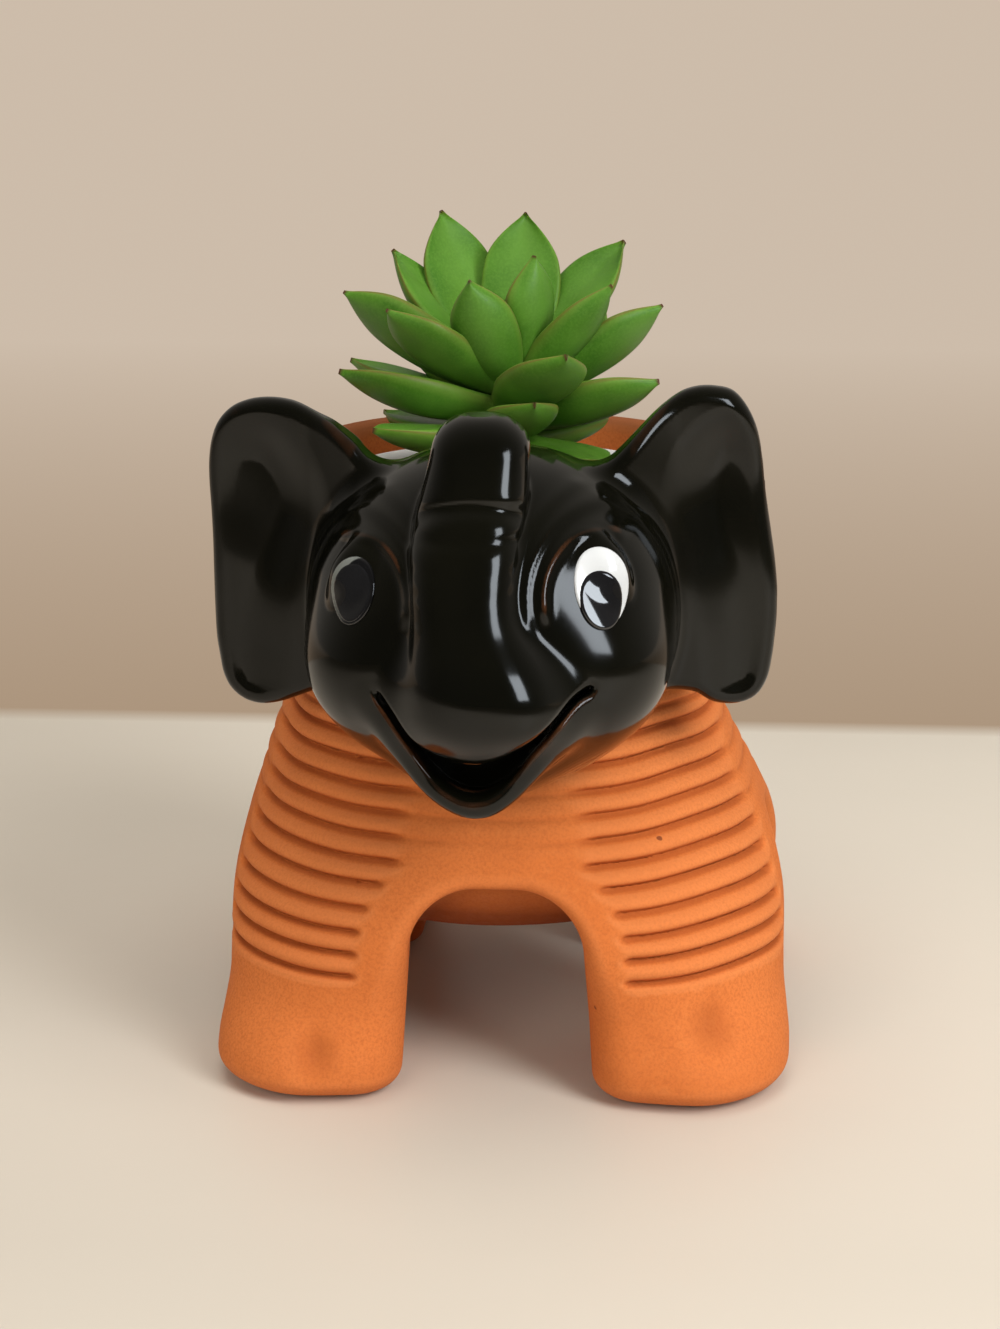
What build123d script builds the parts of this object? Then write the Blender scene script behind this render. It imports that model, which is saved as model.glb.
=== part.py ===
from build123d import *
import math
import os

# Elephant planter: a ribbed terracotta body on four legs with a black glazed head,
# and a succulent in a nursery pot that stands in the body and lifts out.
# Front is -Y, up is +Z, and the origin is on the ground under the middle of the whole object.

# Body, a bell of rounded-square plan
body_height = 146.0
body_half = 70.0
body_y = 19.5
wall = 7.0
overrun = 4.0

# Each station of the bell: its height as a share of body_height, its half-width as a share
# of body_half, and its corner radius as a share of that half-width
bell_station_shares = [
    (0.0, 0.929, 0.37),
    (0.030, 0.982, 0.36),
    (0.075, 1.000, 0.38),
    (0.160, 0.980, 0.52),
    (0.250, 0.978, 0.67),
    (0.340, 0.960, 0.83),
    (0.420, 0.912, 0.92),
    (0.500, 0.843, 0.95),
    (0.600, 0.768, 0.96),
    (0.710, 0.738, 0.97),
    (0.830, 0.737, 0.97),
    (0.940, 0.756, 0.97),
    (1.0, 0.776, 0.97),
]

# Legs and the arches between them
leg_top = 44.0
arch_height = 53.0
arch_foot_half = 22.5
arch_head_half = 18.5
arch_corner = 14.0
smooth_band = 12.0
leg_core_out = 43.5
leg_core_radius = 9.0
leg_core_depth = 32.0

# Thrown ribs round the outside
rib_low = 31.5
rib_high = 90.0
rib_count = 11
rib_depth = 1.8
rib_profile_shares = [(0.0, -1.0), (0.14, -0.12), (0.45, -0.06), (0.8, -0.42)]

# Bowl inside the body
belly_low = 38.0
belly_flat_radius = 38.0
belly_setback = 4.0
belly_knee_share = (0.5, 0.33)
well_floor_radius = 40.0
well_waist_share = 0.72
well_waist_radius = 44.5
well_rim_radius = 47.0
rim_round = 2.2
drain_radius = 5.0

# Head, a hollow ball with two cheeks and a muzzle; forward and drop are from the head's centre
head_half_width = 42.5
head_half_depth = 40.0
head_half_height = 40.0
head_forward = 59.5
head_height_share = 0.815
head_core_share = 0.76
cheek_radius = 18.5
cheek_out = 22.0
cheek_forward = 18.5
cheek_drop = 11.5
muzzle_half_width = 25.0
muzzle_half_depth = 18.0
muzzle_half_height = 15.0
muzzle_forward = 27.0
muzzle_drop = 6.5

# Trunk, folded up over the face: a lip, a limb of oval stations and a round tip
trunk_half_width = 13.5
trunk_half_depth = 11.5
trunk_lip_half_width = 17.0
trunk_lip_half_depth = 15.0
trunk_lip_half_height = 13.5
trunk_lip_forward = 36.0
trunk_lip_drop = 6.5
trunk_rise = 47.5
trunk_lean = 17.0
trunk_tip_half_height = 10.0
# Each station: its place up the limb, its lean, its half-width and its half-depth as shares
trunk_station_shares = [
    (0.0, 0.0, 1.0, 1.0),
    (0.3, 0.14, 0.94, 0.98),
    (0.62, 0.46, 0.87, 0.93),
    (0.84, 0.76, 0.84, 0.88),
    (1.0, 1.0, 0.82, 0.85),
]

# Mouth and lower jaw
mouth_half_width = 17.0
mouth_half_depth = 14.0
mouth_half_height = 8.0
mouth_forward = 40.0
mouth_drop = 25.0
jaw_half_width = 27.0
jaw_half_depth = 28.0
jaw_half_height = 27.0
jaw_forward = 16.0
jaw_drop = 13.5
lip_thickness = 4.5
jaw_rim_forward = 42.5
jaw_rim_drop = 34.0
jaw_rim_tilt = 58.0

# Ears
ear_height = 73.5
ear_width = 41.0
ear_thickness = 9.0
ear_round = 3.4
ear_forward = 54.0
ear_root_out = 26.0
ear_low_drop = 24.5
ear_turn = 12.0
ear_dish_depth = 4.6
ear_dish_share = 0.4
# Points of the ear's outline, out from its root and up from its lowest point
ear_outline_shares = [
    (0.05, 0.84), (0.20, 0.92), (0.42, 0.985), (0.64, 1.0), (0.84, 0.94), (0.95, 0.80),
    (0.985, 0.52), (1.0, 0.28), (0.95, 0.12), (0.83, 0.02), (0.64, 0.0), (0.42, 0.07), (0.0, 0.42),
]

# Eyes and pupils
eye_half_width = 6.6
eye_half_height = 7.9
eye_half_depth = 4.2
eye_out = 27.5
eye_rise = 14.5
eye_turn = 30.0
eye_sink = 1.6
pupil_half_width = 3.9
pupil_half_height = 5.3
pupil_proud = 1.0
pupil_drop = 1.6

# Tail, hanging down the back of the body
tail_radius = 4.4
tail_length = 42.0
tail_top_share = 0.72
# Each station: its place down the tail, how far it stands off the wall and its radius as shares
tail_station_shares = [
    (0.0, -1.2, 1.1),
    (0.1, 0.7, 1.0),
    (0.35, 1.0, 0.72),
    (0.66, 0.9, 0.66),
    (0.86, 0.9, 0.95),
    (1.0, 0.7, 0.35),
]

# Nursery pot, soil and stem
pot_top_radius = 42.0
pot_base_radius = 31.0
pot_top_drop = 7.0
pot_wall = 1.2
pot_lip_width = 2.4
pot_lip_height = 3.0
pot_seat_gap = 0.3
pot_hole_radius = 2.5
pot_hole_count = 6
pot_hole_ring_radius = 20.0
soil_drop = 6.0
soil_crown = 2.0
soil_gap = 0.1
stem_radius = 6.5
stem_tip_radius = 2.5
stem_root = 8.0
stem_height = 32.0

# Leaves
leaf_length = 50.0
leaf_width = 19.5
leaf_thickness = 7.2
leaf_curl = 14.0
leaf_seat = 2.5
# Each section of a leaf: its place along the leaf, its width and its thickness as shares
leaf_section_shares = [
    (0.0, 0.52, 0.72),
    (0.22, 0.74, 0.96),
    (0.46, 0.97, 1.0),
    (0.66, 0.98, 0.86),
    (0.84, 0.66, 0.52),
    (0.95, 0.22, 0.22),
    (1.0, 0.05, 0.08),
]
# Each leaf, heart first: azimuth and pitch in degrees, then its length, its width and the
# height of its seat on the stem as shares of leaf_length, leaf_width and stem_height,
# its roll about its own length in degrees, and its bow as a share of leaf_curl
leaf_place_shares = [
    (-33, 82, 0.38, 0.50, 0.98, 0, 0.57),
    (78, 77, 0.41, 0.55, 0.98, 0, 0.57),
    (-150, 74, 0.41, 0.55, 0.96, 0, 0.57),
    (-56, 67, 0.70, 0.78, 0.94, -6, 0.71),
    (-106, 51, 0.74, 0.82, 0.91, -14, 0.86),
    (73, 68, 0.90, 1.02, 0.87, -8, 0.64),
    (134, 59, 0.99, 1.06, 0.85, 8, 0.64),
    (27, 48, 0.95, 0.98, 0.86, -12, -0.14),
    (166, 48, 0.90, 0.80, 0.86, 8, 0.21),
    (-31, 43, 0.83, 0.66, 0.86, 16, 0.29),
    (-139, 31, 0.86, 0.94, 0.89, -16, 0.21),
    (97, 37, 0.90, 0.95, 0.75, 0, 0.71),
    (-175, 31, 0.94, 0.98, 0.86, -38, 0.00),
    (52, 30, 0.89, 0.92, 0.73, 0, 0.43),
    (-65, 24, 0.84, 1.02, 0.77, 6, 0.36),
    (-4, 31, 0.90, 0.88, 0.81, 30, 0.36),
    (131, 24, 0.89, 0.92, 0.71, 0, 0.43),
    (74, 16, 0.85, 0.92, 0.67, 0, 0.29),
    (159, 13, 0.90, 0.80, 0.69, -10, 0.14),
    (-77, 19, 0.69, 0.86, 0.58, 4, 0.14),
    (-161, 15, 0.88, 1.02, 0.71, -24, 0.29),
    (-21, 16, 0.83, 0.94, 0.67, 26, 0.29),
    (26, 10, 0.81, 0.88, 0.62, 0, 0.14),
    (-135, 8, 0.85, 0.90, 0.53, -8, 0.21),
    (105, 5, 0.84, 0.88, 0.53, 0, 0.21),
    (-50, 6, 0.75, 0.84, 0.51, 8, 0.21),
    (51, 4, 0.79, 0.85, 0.47, 0, 0.21),
    (146, 4, 0.80, 0.85, 0.47, 0, 0.21),
]

os.makedirs("parts", exist_ok=True)


def bell_size(height):
    """Half-width and corner radius of the bell at a height, on a smooth curve through its stations."""
    stations = [
        (at * body_height, half * body_half, half * body_half * corner)
        for at, half, corner in bell_station_shares
    ]
    last = len(stations) - 2
    index = max(i for i in range(last + 1) if i == 0 or stations[i][0] <= height)
    low, high = stations[index], stations[index + 1]
    before = stations[max(index - 1, 0)]
    after = stations[min(index + 2, last + 1)]
    span = high[0] - low[0]
    t = (height - low[0]) / span
    sizes = []
    for k in (1, 2):
        start_slope = (high[k] - before[k]) / (high[0] - before[0]) * span
        end_slope = (after[k] - low[k]) / (after[0] - low[0]) * span
        rise = high[k] - low[k]
        curve = low[k] + t * start_slope + t * t * (3 * rise - 2 * start_slope - end_slope)
        sizes.append(curve + t * t * t * (start_slope + end_slope - 2 * rise))
    return sizes


def body_plane(height):
    """Level plane on the body's axis at a height."""
    return Plane(origin=(0, body_y, height))


def ellipsoid(centre, radii, turn=0):
    """A ball stretched to three half-sizes, turned about its upright axis and set at a centre."""
    with BuildPart() as ball:
        Sphere(1)
        scale(by=tuple(radii))
    return ball.part.moved(Location(centre, (0, 0, turn)))


def arch_outline(grow):
    """Face of the round-shouldered arch, grown outward by a distance."""
    with BuildSketch() as face:
        with BuildLine():
            Polyline(
                (-arch_foot_half - grow, -overrun),
                (-arch_head_half - grow, arch_height + grow),
                (arch_head_half + grow, arch_height + grow),
                (arch_foot_half + grow, -overrun),
                close=True,
            )
        make_face()
        fillet(face.vertices().group_by(Axis.Y)[-1], radius=arch_corner + grow)
    return face.sketch


def arch_prism(grow):
    """The arch run right through the body both ways."""
    reach = body_half + overrun
    with BuildPart() as prism:
        for across, along in (((1, 0, 0), (0, -1, 0)), ((0, 1, 0), (1, 0, 0))):
            with BuildSketch(Plane(origin=(0, body_y, 0), x_dir=across, z_dir=along)):
                add(arch_outline(grow))
            extrude(amount=reach, both=True)
    return prism.part


# Smooth bell, and the same form with ribs outside the smooth bands round the arches
arches = arch_prism(0)
arch_bands = arch_prism(smooth_band)

with BuildPart() as bell:
    for at, half_share, corner_share in bell_station_shares:
        half = half_share * body_half
        with BuildSketch(body_plane(at * body_height)):
            RectangleRounded(2 * half, 2 * half, corner_share * half)
    loft()

rib_pitch = (rib_high - rib_low) / rib_count
rib_sections = [
    (rib_low + (rib + share) * rib_pitch, proud * rib_depth)
    for rib in range(rib_count)
    for share, proud in rib_profile_shares
]
rib_sections.append((rib_high, -rib_depth))

with BuildPart() as ribs:
    for height, proud in rib_sections:
        half, corner = bell_size(height)
        with BuildSketch(body_plane(height)):
            RectangleRounded(2 * (half + proud), 2 * (half + proud), corner)
    loft(ruled=True)
    add(arch_bands, mode=Mode.SUBTRACT)

with BuildPart() as rib_zone:
    with BuildSketch(body_plane(rib_low)):
        Rectangle(2 * (body_half + overrun), 2 * (body_half + overrun))
    extrude(amount=rib_high - rib_low)
    add(arch_bands, mode=Mode.SUBTRACT)

with BuildPart() as body_form:
    add(bell.part)
    add(rib_zone.part, mode=Mode.SUBTRACT)
    add(ribs.part)

# Round underside of the bowl, and the well inside it
body_section = Plane(origin=(0, body_y, 0), x_dir=(1, 0, 0), z_dir=(0, -1, 0))
body_axis = Axis((0, body_y, 0), (0, 0, 1))
belly_top = arch_height + smooth_band
belly_radius = bell_size(belly_top)[0] - rib_depth
arch_head_radius = bell_size(arch_height)[0] - belly_setback
knee_out = belly_flat_radius + belly_knee_share[0] * (arch_head_radius - belly_flat_radius)
knee_up = belly_low + belly_knee_share[1] * (arch_height - belly_low)

with BuildPart() as belly:
    with BuildSketch(body_section):
        with BuildLine():
            Line((0, belly_low), (belly_flat_radius, belly_low))
            Spline(
                (belly_flat_radius, belly_low),
                (knee_out, knee_up),
                (arch_head_radius, arch_height),
                tangents=((1, 0), (0.2, 1)),
            )
            Line((arch_head_radius, arch_height), (belly_radius, belly_top))
            Line((belly_radius, belly_top), (0, belly_top))
            Line((0, belly_top), (0, belly_low))
        make_face()
    revolve(axis=body_axis)

well_floor = belly_low + wall
well_side_radius = belly_radius - wall
waist_height = well_waist_share * body_height

with BuildPart() as well:
    with BuildSketch(body_section):
        with BuildLine():
            Line((0, well_floor), (well_floor_radius, well_floor))
            Spline(
                (well_floor_radius, well_floor),
                (well_side_radius, belly_top),
                (well_waist_radius, waist_height),
                (well_rim_radius, body_height),
                tangents=((1, 0), (0.1, 1)),
            )
            Line((well_rim_radius, body_height), (well_rim_radius, body_height + overrun))
            Line((well_rim_radius, body_height + overrun), (0, body_height + overrun))
            Line((0, body_height + overrun), (0, well_floor))
        make_face()
    revolve(axis=body_axis)

with BuildPart() as bowl:
    add(body_form.part)
    add(arches, mode=Mode.SUBTRACT)
    split(bisect_by=Plane.XY.offset(leg_top), keep=Keep.TOP)
    add(belly.part)
    add(well.part, mode=Mode.SUBTRACT)
    with BuildSketch(body_plane(belly_low - overrun)):
        Circle(drain_radius)
    extrude(amount=wall + 2 * overrun, mode=Mode.SUBTRACT)
    fillet(bowl.edges().group_by(Axis.Z)[-1], radius=rim_round)
bowl.part.label = "bowl"
export_step(bowl.part, "parts/bowl.step")

# Four legs, each luted under one corner of the body and cored from its sole
for end, y_sign in (("front", -1), ("rear", 1)):
    for side, x_sign in (("left", -1), ("right", 1)):
        name = f"{end}_leg_{side}"
        with BuildPart() as leg:
            with BuildSketch(Plane(origin=(0, body_y, 0))):
                with Locations((x_sign * body_half / 2, y_sign * body_half / 2)):
                    Rectangle(body_half, body_half)
            extrude(amount=leg_top)
            add(body_form.part, mode=Mode.INTERSECT)
            add(arches, mode=Mode.SUBTRACT)
            add(belly.part, mode=Mode.SUBTRACT)
            with BuildSketch(Plane(origin=(x_sign * leg_core_out, body_y + y_sign * leg_core_out, 0))):
                Circle(leg_core_radius)
            extrude(amount=leg_core_depth, mode=Mode.SUBTRACT)
        leg.part.label = name
        export_step(leg.part, f"parts/{name}.step")

# Head, cut to the outside of the body that it is luted to
head_y = body_y - head_forward
head_z = head_height_share * body_height
head_radii = (head_half_width, head_half_depth, head_half_height)

with BuildPart() as body_blank:
    add(bell.part)
    with BuildSketch(body_plane(body_height)):
        Circle(bell_size(body_height)[0])
    extrude(amount=head_half_height)

with BuildPart() as head_shell:
    add(ellipsoid((0, head_y, head_z), head_radii))
    for sign in (-1, 1):
        cheek_centre = (sign * cheek_out, head_y - cheek_forward, head_z - cheek_drop)
        add(ellipsoid(cheek_centre, (cheek_radius, cheek_radius, cheek_radius)))
    add(
        ellipsoid(
            (0, head_y - muzzle_forward, head_z - muzzle_drop),
            (muzzle_half_width, muzzle_half_depth, muzzle_half_height),
        )
    )
    add(
        ellipsoid(
            (0, head_y - mouth_forward, head_z - mouth_drop),
            (mouth_half_width, mouth_half_depth, mouth_half_height),
        ),
        mode=Mode.SUBTRACT,
    )
    add(body_blank.part, mode=Mode.SUBTRACT)
    add(
        ellipsoid((0, head_y, head_z), [head_core_share * radius for radius in head_radii]),
        mode=Mode.SUBTRACT,
    )
head_shell.part.label = "head_shell"
export_step(head_shell.part, "parts/head_shell.step")

# Trunk
trunk_y = head_y - trunk_lip_forward
trunk_z = head_z - trunk_lip_drop

with BuildPart() as trunk:
    for up, lean, width_share, depth_share in trunk_station_shares:
        origin = (0, trunk_y + lean * trunk_lean, trunk_z + up * trunk_rise)
        with BuildSketch(Plane(origin=origin)):
            Ellipse(width_share * trunk_half_width, depth_share * trunk_half_depth)
    loft()
    tip_width_share, tip_depth_share = trunk_station_shares[-1][2:]
    add(
        ellipsoid(
            (0, trunk_y + trunk_lean, trunk_z + trunk_rise),
            (tip_width_share * trunk_half_width, tip_depth_share * trunk_half_depth, trunk_tip_half_height),
        )
    )
    add(
        ellipsoid(
            (0, trunk_y, trunk_z),
            (trunk_lip_half_width, trunk_lip_half_depth, trunk_lip_half_height),
        )
    )
    add(head_shell.part, mode=Mode.SUBTRACT)
    add(ellipsoid((0, head_y, head_z), head_radii), mode=Mode.SUBTRACT)
trunk.part.label = "trunk"
export_step(trunk.part, "parts/trunk.step")

# Lower jaw, a scoop that hangs from the cheeks, open forward and up
jaw_centre = (0, head_y - jaw_forward, head_z - jaw_drop)
rim_angle = math.radians(jaw_rim_tilt)
jaw_rim_plane = Plane(
    origin=(0, head_y - jaw_rim_forward, head_z - jaw_rim_drop),
    x_dir=(1, 0, 0),
    z_dir=(0, -math.sin(rim_angle), math.cos(rim_angle)),
)

jaw_radii = (jaw_half_width, jaw_half_depth, jaw_half_height)

with BuildPart() as jaw_scoop:
    add(ellipsoid(jaw_centre, jaw_radii))
    add(ellipsoid(jaw_centre, [radius - lip_thickness for radius in jaw_radii]), mode=Mode.SUBTRACT)
    split(bisect_by=jaw_rim_plane, keep=Keep.BOTTOM)
    add(head_shell.part, mode=Mode.SUBTRACT)
    add(ellipsoid((0, head_y, head_z), head_radii), mode=Mode.SUBTRACT)
    add(trunk.part, mode=Mode.SUBTRACT)
    add(body_blank.part, mode=Mode.SUBTRACT)

with BuildPart() as lower_jaw:
    add(jaw_scoop.solids().sort_by(SortBy.VOLUME)[-1])
lower_jaw.part.label = "lower_jaw"
export_step(lower_jaw.part, "parts/lower_jaw.step")

# Ears, dished plates that spread from the sides of the head
ear_angle = math.radians(ear_turn)
ear_points = [(out * ear_width, up * ear_height) for out, up in ear_outline_shares]

for side, sign in (("left", -1), ("right", 1)):
    ear_plane = Plane(
        origin=(sign * ear_root_out, body_y - ear_forward, head_z - ear_low_drop),
        x_dir=(sign * math.cos(ear_angle), math.sin(ear_angle), 0),
        z_dir=(math.sin(ear_angle), -sign * math.cos(ear_angle), 0),
    )
    facing = -1 if sign < 0 else 1
    dish_centre = ear_plane.from_local_coords((ear_width / 2, ear_height / 2, facing * ear_thickness / 2))
    with BuildPart() as ear:
        with BuildSketch(ear_plane):
            with BuildLine():
                Spline(*ear_points, periodic=True)
            make_face()
        extrude(amount=ear_thickness / 2, both=True)
        fillet(ear.edges(), radius=ear_round)
        add(
            ellipsoid(
                dish_centre,
                (ear_dish_share * ear_width, ear_dish_depth, ear_dish_share * ear_height),
                turn=sign * ear_turn,
            ),
            mode=Mode.SUBTRACT,
        )
        add(head_shell.part, mode=Mode.SUBTRACT)
        add(ellipsoid((0, head_y, head_z), head_radii), mode=Mode.SUBTRACT)
        add(body_blank.part, mode=Mode.SUBTRACT)
    ear.part.label = f"ear_{side}"
    export_step(ear.part, f"parts/ear_{side}.step")

# Eyes, raised lenses with a pupil on each
eye_depth_share = math.sqrt(1 - (eye_out / head_half_width) ** 2 - (eye_rise / head_half_height) ** 2)
eye_y = head_y - eye_depth_share * head_half_depth + eye_sink

eye_radii = (eye_half_width, eye_half_depth, eye_half_height)
pupil_radii = (pupil_half_width, eye_half_depth + pupil_proud, pupil_half_height)

for side, sign in (("left", -1), ("right", 1)):
    eye_centre = (sign * eye_out, eye_y, head_z + eye_rise)
    pupil_centre = (sign * eye_out, eye_y, head_z + eye_rise - pupil_drop)
    with BuildPart() as eye:
        add(ellipsoid(eye_centre, eye_radii, turn=sign * eye_turn))
        add(head_shell.part, mode=Mode.SUBTRACT)
    with BuildPart() as pupil:
        add(ellipsoid(pupil_centre, pupil_radii, turn=sign * eye_turn))
        add(head_shell.part, mode=Mode.SUBTRACT)
        add(eye.part, mode=Mode.SUBTRACT)
    eye.part.label = f"eye_{side}"
    export_step(eye.part, f"parts/eye_{side}.step")
    pupil.part.label = f"pupil_{side}"
    export_step(pupil.part, f"parts/pupil_{side}.step")

# Tail
tail_points = []
for down, stand, radius_share in tail_station_shares:
    height = tail_top_share * body_height - down * tail_length
    tail_points.append(Vector(0, body_y + bell_size(height)[0] + stand * tail_radius, height))

with BuildPart() as tail:
    for index, point in enumerate(tail_points):
        before = tail_points[max(index - 1, 0)]
        after = tail_points[min(index + 1, len(tail_points) - 1)]
        with BuildSketch(Plane(origin=point, x_dir=(1, 0, 0), z_dir=after - before)):
            Circle(tail_station_shares[index][2] * tail_radius)
    loft()
    add(body_blank.part, mode=Mode.SUBTRACT)
tail.part.label = "tail"
export_step(tail.part, "parts/tail.step")

# Nursery pot, standing on the floor of the well
pot_base = well_floor + pot_seat_gap
pot_top = body_height - pot_top_drop
pot_slope = (pot_top_radius - pot_base_radius) / (pot_top - pot_base)

with BuildPart() as nursery_pot:
    with BuildSketch(body_section):
        with BuildLine():
            Polyline(
                (0, pot_base),
                (pot_base_radius, pot_base),
                (pot_top_radius, pot_top - pot_lip_height),
                (pot_top_radius + pot_lip_width, pot_top - pot_lip_height),
                (pot_top_radius + pot_lip_width, pot_top),
                (pot_top_radius - pot_wall, pot_top),
                (pot_base_radius - pot_wall, pot_base + pot_wall),
                (0, pot_base + pot_wall),
                close=True,
            )
        make_face()
    revolve(axis=body_axis)
    with BuildSketch(body_plane(pot_base)):
        with PolarLocations(pot_hole_ring_radius, pot_hole_count):
            Circle(pot_hole_radius)
    extrude(amount=pot_wall, mode=Mode.SUBTRACT)
nursery_pot.part.label = "nursery_pot"
export_step(nursery_pot.part, "parts/nursery_pot.step")

# Stem, rooted in the soil
soil_top = pot_top - soil_drop
stem_top = soil_top + stem_height

with BuildPart() as succulent_stem:
    with BuildSketch(body_section):
        with BuildLine():
            Polyline(
                (0, soil_top - stem_root),
                (stem_radius, soil_top - stem_root),
                (stem_radius, soil_top),
                (stem_tip_radius, stem_top),
                (0, stem_top),
                close=True,
            )
        make_face()
    revolve(axis=body_axis)
succulent_stem.part.label = "succulent_stem"
export_step(succulent_stem.part, "parts/succulent_stem.step")

# Soil, filling the pot to a low crown
soil_base = pot_base + pot_wall + soil_gap
soil_base_radius = pot_base_radius - pot_wall - soil_gap
soil_top_radius = soil_base_radius + pot_slope * (soil_top - soil_base)

with BuildPart() as potting_soil:
    with BuildSketch(body_section):
        with BuildLine():
            Polyline(
                (soil_top_radius, soil_top),
                (soil_base_radius, soil_base),
                (0, soil_base),
                (0, soil_top + soil_crown),
            )
            Spline(
                (0, soil_top + soil_crown),
                (soil_top_radius, soil_top),
                tangents=((1, 0), (1, -soil_crown / soil_top_radius)),
            )
        make_face()
    revolve(axis=body_axis)
    add(succulent_stem.part, mode=Mode.SUBTRACT)
potting_soil.part.label = "potting_soil"
export_step(potting_soil.part, "parts/potting_soil.step")


def boxes_meet(one, other):
    """Whether the bounding boxes of two parts overlap."""
    a, b = one.bounding_box(), other.bounding_box()
    return all(
        low < high
        for low, high in (
            (a.min.X, b.max.X), (b.min.X, a.max.X), (a.min.Y, b.max.Y),
            (b.min.Y, a.max.Y), (a.min.Z, b.max.Z), (b.min.Z, a.max.Z),
        )
    )


def leaf_form(azimuth, pitch, length, width, seat, roll, bow):
    """A fleshy pointed leaf that leaves the stem at a height and bows below its own chord."""
    turn, lift, tilt = math.radians(azimuth), math.radians(pitch), math.radians(roll)
    out = Vector(math.cos(turn) * math.cos(lift), math.sin(turn) * math.cos(lift), math.sin(lift))
    rise = Vector(-math.cos(turn) * math.sin(lift), -math.sin(turn) * math.sin(lift), math.cos(lift))
    level = out.cross(rise)
    side = level * math.cos(tilt) + rise * math.sin(tilt)
    up = rise * math.cos(tilt) - level * math.sin(tilt)
    seat_radius = stem_tip_radius + max(stem_top - seat, 0) / stem_height * (stem_radius - stem_tip_radius)
    start = seat_radius - leaf_seat
    foot = Vector(0, body_y, seat)
    with BuildPart() as form:
        for along, width_share, thickness_share in leaf_section_shares:
            centre = foot + out * (start + (length - start) * along) + up * (bow * along * (along - 1))
            heading = out * (length - start) + up * (bow * (2 * along - 1))
            with BuildSketch(Plane(origin=centre, x_dir=side, z_dir=heading)):
                Ellipse(width_share * width / 2, thickness_share * leaf_thickness / 2)
        loft()
    return form.part


# Rosette, from the heart outward, each leaf trimmed to the stem and the leaves inside it
leaf_forms = []
for number, (azimuth, pitch, *shares, roll, bow_share) in enumerate(leaf_place_shares, start=1):
    name = f"leaf_{number:02d}"
    length = shares[0] * leaf_length
    width = shares[1] * leaf_width
    seat = soil_top + shares[2] * stem_height
    form = leaf_form(azimuth, pitch, length, width, seat, roll, bow_share * leaf_curl)
    with BuildPart() as trimmed:
        add(form)
        add(succulent_stem.part, mode=Mode.SUBTRACT)
        for other in leaf_forms:
            if boxes_meet(form, other):
                add(other, mode=Mode.SUBTRACT)
    with BuildPart() as leaf:
        add(trimmed.solids().sort_by(SortBy.VOLUME)[-1])
    leaf_forms.append(form)
    leaf.part.label = name
    export_step(leaf.part, f"parts/{name}.step")
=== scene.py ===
import math
from contextlib import contextmanager

import bmesh
import bpy
import numpy as np
import openvdb
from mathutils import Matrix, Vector


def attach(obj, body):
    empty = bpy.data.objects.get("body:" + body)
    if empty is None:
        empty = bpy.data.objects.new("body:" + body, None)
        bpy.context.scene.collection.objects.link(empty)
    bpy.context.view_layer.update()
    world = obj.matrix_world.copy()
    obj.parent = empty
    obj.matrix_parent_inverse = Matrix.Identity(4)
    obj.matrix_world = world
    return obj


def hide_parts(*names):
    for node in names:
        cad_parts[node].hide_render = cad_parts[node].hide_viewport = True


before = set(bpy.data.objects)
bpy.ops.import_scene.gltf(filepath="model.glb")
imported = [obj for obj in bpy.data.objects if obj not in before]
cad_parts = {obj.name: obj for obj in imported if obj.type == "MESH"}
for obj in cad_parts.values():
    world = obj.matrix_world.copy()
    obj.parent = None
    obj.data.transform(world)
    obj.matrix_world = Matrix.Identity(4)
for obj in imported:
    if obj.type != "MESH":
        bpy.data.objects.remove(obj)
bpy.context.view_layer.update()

# Lengths are in millimetres in the row frame until an object is made
MM = 0.001
SKIRT = 0.9
BODY_Y = 19.5


# Distance fields and their mesh

def smooth_min(a, b, size):
    """Two forms run together with a fillet of about a size."""
    h = np.clip(0.5 + 0.5 * (b - a) / size, 0, 1)
    return b + (a - b) * h - size * h * (1 - h)


def smooth_max(a, b, size):
    return -smooth_min(-a, -b, size)


def round_max(a, b, radius):
    """The common part of two forms, with a round edge."""
    inside = np.minimum(np.maximum(a, b), -radius)
    return inside + np.hypot(np.maximum(a + radius, 0), np.maximum(b + radius, 0))


def sharp_max(a, b):
    """The common part of two forms, with a sharp edge and true distances beyond it."""
    return np.hypot(np.maximum(a, 0), np.maximum(b, 0)) + np.minimum(np.maximum(a, b), 0)


def ease(value, low, high):
    """Zero below a range and one above it, with a smooth rise between."""
    t = np.clip((value - low) / (high - low), 0, 1)
    return t * t * (3 - 2 * t)


def soft_spot(x, z, at, size):
    """One in the middle of an oval spot, fading away round it."""
    return np.exp(-(((x - at[0]) / size[0]) ** 2) - ((z - at[1]) / size[1]) ** 2)


def ellipsoid(x, y, z, centre, radii, power=2.0):
    parts = [np.abs(v - c) / r for v, c, r in zip((x, y, z), centre, radii)]
    norm = (parts[0] ** power + parts[1] ** power + parts[2] ** power) ** (1 / power)
    slope = np.sqrt(sum((p / r) ** 2 for p, r in zip(parts, radii)))
    return norm * (norm - 1) / np.maximum(slope, 1 / (3 * max(radii)))


def capsule_chain(x, y, z, points, radii, blend=0.0):
    """A round limb through points, whose radius changes evenly along each run."""
    total = None
    for (a, b), (ra, rb) in zip(zip(points, points[1:]), zip(radii, radii[1:])):
        run = [q - p for p, q in zip(a, b)]
        away = [v - p for v, p in zip((x, y, z), a)]
        t = np.clip(sum(u * w for u, w in zip(run, away)) / sum(u * u for u in run), 0, 1)
        gap = np.sqrt(sum((w - u * t) ** 2 for u, w in zip(run, away)))
        piece = gap - (ra + (rb - ra) * t)
        if total is None:
            total = piece
        else:
            total = smooth_min(total, piece, blend) if blend else np.minimum(total, piece)
    return total


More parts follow.
